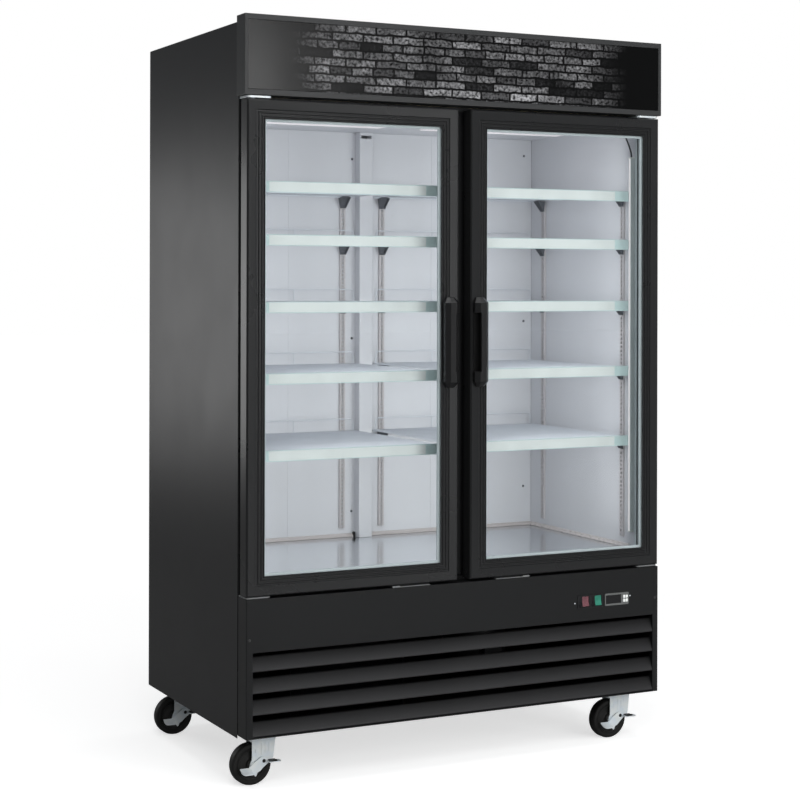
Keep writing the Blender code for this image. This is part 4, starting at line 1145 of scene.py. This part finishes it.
# ---- machine space ------------------------------------------------------------------
def make_machine():
    dress("base_frame", "case_paint", 0.0008)
    dress("condenser_fan", "switch_black", 0.0006)
    dress("evaporator_fan", "switch_black", 0.0006)
    dress("evaporator", "coil_fin", 0.0008)

    low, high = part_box("condenser")
    near, far = at(0.09), at(0.15)
    count = 68
    fin = block("coil_fin", (low.x + 0.008, near, 0.178), (low.x + 0.0084, far, 0.442))
    repeat(fin, count, ((high.x - low.x - 0.0164) / (count - 1), 0, 0))
    fit(fin, "coil_fin")
    tubes = []
    for row in range(7):
        z = 0.197 + row * 0.038
        for y in (near + 0.016, far - 0.016):
            tubes.append(rod("coil_tube", (low.x + 0.002, y, z), (high.x - 0.002, y, z), 0.0045,
                             8))
    fit(assembled("coil_tubes", tubes), "can_black")
    ends = [
        block("coil_end", (x, near - 0.002, 0.1528), (x + 0.0015, at(0.255), high.z))
        for x in (low.x, high.x - 0.0015)
    ]
    for end in ends:
        soften(end, 0.0005)
    fan_low, fan_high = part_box("condenser_fan")
    centre = (fan_low + fan_high) / 2
    shroud = block("coil_shroud", (low.x + 0.002, far + 0.001, 0.178),
                   (high.x - 0.002, far + 0.0022, 0.442))
    hole = rod("fan_hole", (centre.x, far - 0.01, centre.z), (centre.x, far + 0.02, centre.z),
               0.116, 48)
    carve(shroud, hole)
    motor = turned("fan_motor",
                   [(0, 0.03), (0.026, 0.03), (0.033, 0.024), (0.035, 0.012), (0.035, -0.02),
                                 (0.03, -0.028), (0, -0.028)], (centre.x, at(0.23), centre.z), "Y",
                                 28)
    strap = block("fan_strap", (low.x + 0.002, at(0.2455), centre.z - 0.016),
                  (high.x - 0.002, at(0.2475), centre.z + 0.016))
    frame_piece = assembled("coil_frame", [*ends, shroud, soften(strap, 0.0006)])
    fit(frame_piece, "can_black", stands_for=["condenser"])
    fit(motor, "can_black")

    low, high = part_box("compressor")
    x, y = (low.x + high.x) / 2, (low.y + high.y) / 2
    base = low.z
    can = mm(
        (0, 10), (78, 10), (88, 16), (97, 32), (100, 60), (100.5, 100), (101.5, 100.5),
        (101.5, 106.5), (100, 107), (98, 140), (92, 168), (80, 190), (62, 205), (36, 214.5),
        (0, 217.5),
    )
    body = turned("compressor_can", can, (x, y, base), "Z", 44)
    fit(body, "can_black", stands_for=["compressor"])
    foot = block("compressor_foot", (low.x, low.y, base + 0.003), (high.x, high.y, base + 0.006))
    with shaping(foot):
        round_off(0.018, 5, running("Z"))
    pads = [soften(foot, 0.0006)]
    for px in (low.x + 0.02, high.x - 0.02):
        for py in (low.y + 0.018, high.y - 0.018):
            pads.append(turned("compressor_pad",
                               [(0, 0.0003), (0.011, 0.0003), (0.012, 0.002), (0.009, 0.004),
                                                  (0.011, 0.0075), (0, 0.0078)], (px, py, base),
                                                  "Z", 14))
    fit(assembled("compressor_foot", pads), "can_black")
    box_piece = block("terminal_box", (x - 0.032, y - 0.126, base + 0.075),
                      (x + 0.032, y - 0.099, base + 0.135))
    soften(box_piece, 0.003, 3)
    fit(box_piece, "switch_black")
    run = [(x - 0.07, y + 0.05, base + 0.15), (x - 0.105, y + 0.07, base + 0.165),
           (x - 0.2, y + 0.06, base + 0.15)]
    run += [(x - 0.33, y - 0.08, base + 0.12), (-0.26, at(0.3), base + 0.09),
            (-0.175, at(0.2), 0.235)]
    pipes = [bent_rod("suction_pipe", run, 0.004, 2, True)]
    run = [(x + 0.075, y + 0.045, base + 0.12), (x + 0.118, y + 0.075, base + 0.15),
           (x + 0.13, y + 0.12, base + 0.25)]
    run += [(x + 0.1, y + 0.15, base + 0.33), (x + 0.06, y + 0.16, 0.524)]
    pipes.append(bent_rod("riser_pipe", run, 0.005, 2, True))
    fit(assembled("copper_pipes", pipes), "copper")


# ---- casters ------------------------------------------------------------------------
CASTERS = [f"{end}_{side}" for side in ("left", "right") for end in ("front", "rear")]


def hub_of(place):
    low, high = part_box(f"caster_wheel_{place}")
    return (low + high) / 2


def around(centre, points):
    return [(centre.x + u, centre.z + v) for u, v in points]


def make_wheel(hub):
    tyre = mm(
        (41.5, -13), (44, -15), (50, -16), (54, -15.4), (56.4, -13), (57.5, -8.5), (57.5, 8.5),
        (56.4, 13), (54, 15.4), (50, 16), (44, 15), (41.5, 13),
    )
    rim = mm(
        (5.3, -18), (12.5, -18), (14.5, -16.8), (16.5, -11), (20, -9.6), (33, -9.6),
        (36.5, -10.4), (38.5, -13.2), (41.2, -13.8),
    )
    rim += [(radius, -along) for radius, along in reversed(rim)]
    return turned("tyre", tyre, hub, "Y", 56), turned("rim", rim, hub, "Y", 48)


def make_fork(hub):
    leg = mm(
        (-3, 66), (-3, 15), (-8.5, 3), (-10, -4), (-7, -13), (0, -18.5), (10, -20), (20, -17),
        (38, -4.5), (56, 9), (60.5, 15), (64, 40), (66, 66),
    )
    parts = []
    for near, far in ((-0.022, -0.019), (0.019, 0.022)):
        parts.append(soften(drawn_out("fork_leg", around(hub, leg), "Y", hub.y + near,
                                      hub.y + far), 0.0008, 2, 30))
    crown = block("fork_crown", (hub.x - 0.008, hub.y - 0.022, hub.z + 0.063),
                  (hub.x + 0.07, hub.y + 0.022, hub.z + 0.0755))
    with shaping(crown):
        round_off(0.009, 4, running("Z"))
    parts.append(soften(crown, 0.0018, 3))
    swivel = (hub.x + 0.032, hub.y, 0)
    top = hub.z + 0.0755
    race = [(0, top - 0.001), (0.025, top - 0.001), (0.029, top + 0.001), (0.0305, top + 0.0035),
            (0.029, top + 0.0055)]
    race += [(0.0275, top + 0.006), (0.03, top + 0.0075), (0.031, top + 0.01),
             (0.03, top + 0.0118), (0, top + 0.0119)]
    parts.append(turned("fork_race", race, swivel, "Z", 40))
    # Pressed marks on the outer leg: a square boss and upright ribs.
    face = hub.y - 0.022
    for left, low, right, high, proud in (
        (0.007, 0.033, 0.0165, 0.045, 0.0013), (0.024, 0.026, 0.029, 0.06, 0.0009),
        (0.035, 0.03, 0.04, 0.06, 0.0009), (0.046, 0.034, 0.051, 0.06, 0.0009),
    ):
        mark = block("fork_mark", (hub.x + left, face - proud, hub.z + low),
                     (hub.x + right, face + 0.0004, hub.z + high))
        parts.append(soften(mark, 0.0006))
    for sign in (-1, 1):
        nut = rod("axle_nut", (hub.x, hub.y + sign * 0.0218, hub.z),
                  (hub.x, hub.y + sign * 0.0248, hub.z), 0.0088, 6)
        parts.append(soften(nut, 0.0006))
    parts.append(rod("axle_bar", (hub.x, hub.y - 0.0235, hub.z), (hub.x, hub.y + 0.0235, hub.z),
                     0.0048, 16))
    return assembled("fork", parts)


def make_brake(hub):
    """Rocking lever outside the front leg: a dished pedal at one end, a padded one at the other."""
    plate = mm(
        (-14, -4), (-13.5, -11), (-11, -16.5), (-1, -23), (4.5, -30.5), (7.5, -30), (11, -20.5),
        (20, -16), (30, -6), (42, 4), (45, 9), (44, 17), (33, 22.5), (22, 21.5), (2, 8),
    )
    parts = [soften(drawn_out("brake_plate", around(hub, plate), "Y", hub.y - 0.0285,
                              hub.y - 0.0262), 0.0007, 2, 25)]
    tread_section = mm(
        (-26.2, -5), (-38, -12.2), (-52, -16.5), (-52, -19), (-38, -14.7), (-26.2, -7.8),
    )
    tread_section = [(hub.y + across, hub.z + rise) for across, rise in tread_section]
    pedal = drawn_out("lock_pedal", tread_section, "X", hub.x - 0.04, hub.x - 0.008)
    with shaping(pedal):
        round_off(0.011, 6, lambda m,
                  way: abs(way.x) < 0.1 and m.x < hub.x - 0.039 and m.y < hub.y - 0.051)
    parts.append(soften(pedal, 0.0006))
    arm = block("lock_arm", (hub.x - 0.013, hub.y - 0.0285, hub.z - 0.015),
                (hub.x - 0.0075, hub.y - 0.0262, hub.z - 0.005))
    parts.append(soften(arm, 0.0008))
    lever = block("free_pedal", (hub.x + 0.037, hub.y - 0.052, hub.z + 0.0086),
                  (hub.x + 0.074, hub.y - 0.0264, hub.z + 0.0108))
    with shaping(lever):
        round_off(0.01, 5, lambda m, way: abs(way.z) > 0.9 and m.x > hub.x + 0.06)
    parts.append(soften(lever, 0.0006))
    rivet = turned("brake_rivet",
                   [(0, -0.0306), (0.003, -0.0304), (0.0048, -0.0292), (0.0052, -0.0284),
                    (0, -0.0284)],
                   (hub.x + 0.03, hub.y, hub.z + 0.01), "Y", 20)
    pad = block("lever_pad", (hub.x + 0.04, hub.y - 0.05, hub.z + 0.0109),
                (hub.x + 0.062, hub.y - 0.0275, hub.z + 0.0134))
    with shaping(pad):
        round_off(0.004, 4, running("Z"))
    return assembled("brake", parts), assembled("brake_dark", [rivet, soften(pad, 0.0008)])


def make_casters():
    hub = hub_of("front_left")
    tyre, rim = make_wheel(hub)
    fork = make_fork(hub)
    brake, dark = make_brake(hub)
    bolt = rod("plate_bolt", (hub.x + 0.068, hub.y - 0.032, 0.1412),
               (hub.x + 0.068, hub.y - 0.032, 0.1455), 0.0062, 6)
    soften(bolt, 0.0006)
    bolts = [bolt]
    for number, move in enumerate(((-0.072, 0, 0), (0, 0.064, 0), (-0.072, 0.064, 0))):
        bolts.append(twin(bolt, f"plate_bolt_{number}", move))
    bolts = assembled("plate_bolts", bolts)
    for place in CASTERS:
        move = hub_of(place) - hub
        wheel = f"wheel_{place}"
        fit(twin(tyre, f"caster_tyre_{place}", move), "tread", wheel,
            [f"caster_wheel_{place}"])
        fit(twin(rim, f"caster_rim_{place}", move), "hub", wheel)
        fit(twin(fork, f"caster_yoke_{place}", move), "zinc_plate", f"fork_{place}",
            [f"caster_fork_{place}"])
        fit(twin(brake, f"caster_lever_{place}", move), "zinc_plate", f"brake_{place}",
            [f"caster_brake_{place}"])
        fit(twin(dark, f"caster_lever_pad_{place}", move), "tread", f"brake_{place}")
        fit(twin(bolts, f"caster_bolts_{place}", move), "zinc_plate")
    put_away(tyre, rim, fork, brake, dark, bolts)


# ---- studio -------------------------------------------------------------------------
AIR = 0.15  # how strongly the white air lights the piece


def softbox(name, place, aim, size, power, colour=(1.0, 1.0, 1.0), glossy=True):
    light = bpy.data.lights.new(name, "AREA")
    light.shape = "RECTANGLE"
    light.size, light.size_y = size
    light.energy = power
    light.color = colour
    obj = bpy.data.objects.new(name, light)
    obj.location = place
    obj.rotation_euler = (Vector(aim) - Vector(place)).to_track_quat("-Z", "Y").to_euler()
    obj.visible_camera = False
    obj.visible_glossy = glossy
    bpy.context.scene.collection.objects.link(obj)
    return obj


def studio_floor():
    """A pale sweep: a faint shadow near the piece, melting into plain white further out."""
    bpy.ops.object.select_all(action="DESELECT")
    bpy.ops.mesh.primitive_plane_add(size=80, location=(0, 0, 0))
    floor = settled("studio_floor")
    recipe = Recipe("studio_pale", (0.8, 0.8, 0.8), 0.8)
    coords = recipe.node("ShaderNodeTexCoord").outputs["Object"]
    away = recipe.node("ShaderNodeVectorMath", {0: coords}, operation="LENGTH").outputs["Value"]
    fade = recipe.spread(away, 0.0, 1.0, 0.9, 3.2)
    shade = recipe.spread(fade, 0.8, 0.0, 0.0, 1.0)
    glow = recipe.spread(fade, 0.62, 1.0, 0.0, 1.0)
    path = recipe.node("ShaderNodeLightPath").outputs["Is Camera Ray"]
    recipe.set(recipe.shader, "Base Color", shade)
    recipe.set(recipe.shader, "Emission Color", (1.0, 1.0, 1.0, 1.0))
    recipe.set(recipe.shader, "Emission Strength", glow)
    plain = recipe.node("ShaderNodeBsdfDiffuse", {"Color": (0.34, 0.34, 0.34, 1.0)})
    mix = recipe.node("ShaderNodeMixShader",
                      {0: path, 1: plain.outputs[0], 2: recipe.shader.outputs[0]})
    recipe.set(recipe.tree.nodes["Material Output"], "Surface", mix.outputs[0])
    floor.data.materials.append(recipe.material)


def studio_air():
    """White where the camera sees it, dim where the piece is lit by it."""
    world = bpy.data.worlds.new("studio_air")
    world.use_nodes = True
    bpy.context.scene.world = world
    tree = world.node_tree
    seen = tree.nodes["Background"]
    seen.inputs["Color"].default_value = (1.0, 1.0, 1.0, 1.0)
    seen.inputs["Strength"].default_value = 1.0
    felt = tree.nodes.new("ShaderNodeBackground")
    felt.inputs["Color"].default_value = (0.94, 0.97, 1.0, 1.0)
    felt.inputs["Strength"].default_value = AIR
    path = tree.nodes.new("ShaderNodeLightPath")
    mix = tree.nodes.new("ShaderNodeMixShader")
    tree.links.new(path.outputs["Is Camera Ray"], mix.inputs[0])
    tree.links.new(felt.outputs[0], mix.inputs[1])
    tree.links.new(seen.outputs[0], mix.inputs[2])
    tree.links.new(mix.outputs[0], tree.nodes["World Output"].inputs["Surface"])


def make_studio():
    studio_floor()
    studio_air()
    softbox("key_light", (-2.6, -3.6, 3.6), (0, 0, 1.1), (2.6, 2.0), 70, glossy=False)
    softbox("side_light", (-2.35, 3.4, 1.25), (-0.668, -0.2, 1.3), (1.1, 1.4), 10)
    softbox("front_fill", (0.8, -4.6, 1.5), (0, 0, 1.1), (3.2, 2.4), 120, glossy=False)
    softbox("right_light", (3.4, -2.6, 1.6), (0.2, 0, 1.0), (1.2, 2.4), 36, glossy=False)
    softbox("frame_light", (2.75, -9.4, 1.9), (0.0, -0.4, 1.3), (0.7, 3.4), 40)
    softbox("top_light", (0, -0.4, 4.4), (0, 0, 0), (3.0, 3.0), 70)
    for side, name in SIDES:
        softbox(
            f"bay_light_{name}", (side * 0.33, at(0.095), 1.22), (side * 0.33, at(0.7), 1.22),
            (0.5, 1.22), 3.7, glossy=False,
        )
    bpy.context.scene.view_settings.view_transform = "Standard"

    camera = bpy.data.cameras.new("camera")
    camera.lens = 81.13
    camera.sensor_width = 36.0
    camera.shift_x = -0.0012
    camera.shift_y = -0.1475
    camera.clip_end = 100.0
    viewer = bpy.data.objects.new("camera", camera)
    viewer.location = (-2.488, FACE - 4.497, 1.379)
    viewer.rotation_euler = (math.radians(90), math.radians(-0.14), math.radians(-26.92))
    bpy.context.scene.collection.objects.link(viewer)
    bpy.context.scene.camera = viewer


# ---- build --------------------------------------------------------------------------
make_case()
make_header()
make_front_frame()
make_lower_panel()
make_controls()
for side, name in SIDES:
    make_door(side, name)
    make_hinge(side, name)
make_walls()
make_rail_gap_shade()
make_supports()
make_shelves()
make_lamps()
make_machine()
make_casters()
make_studio()
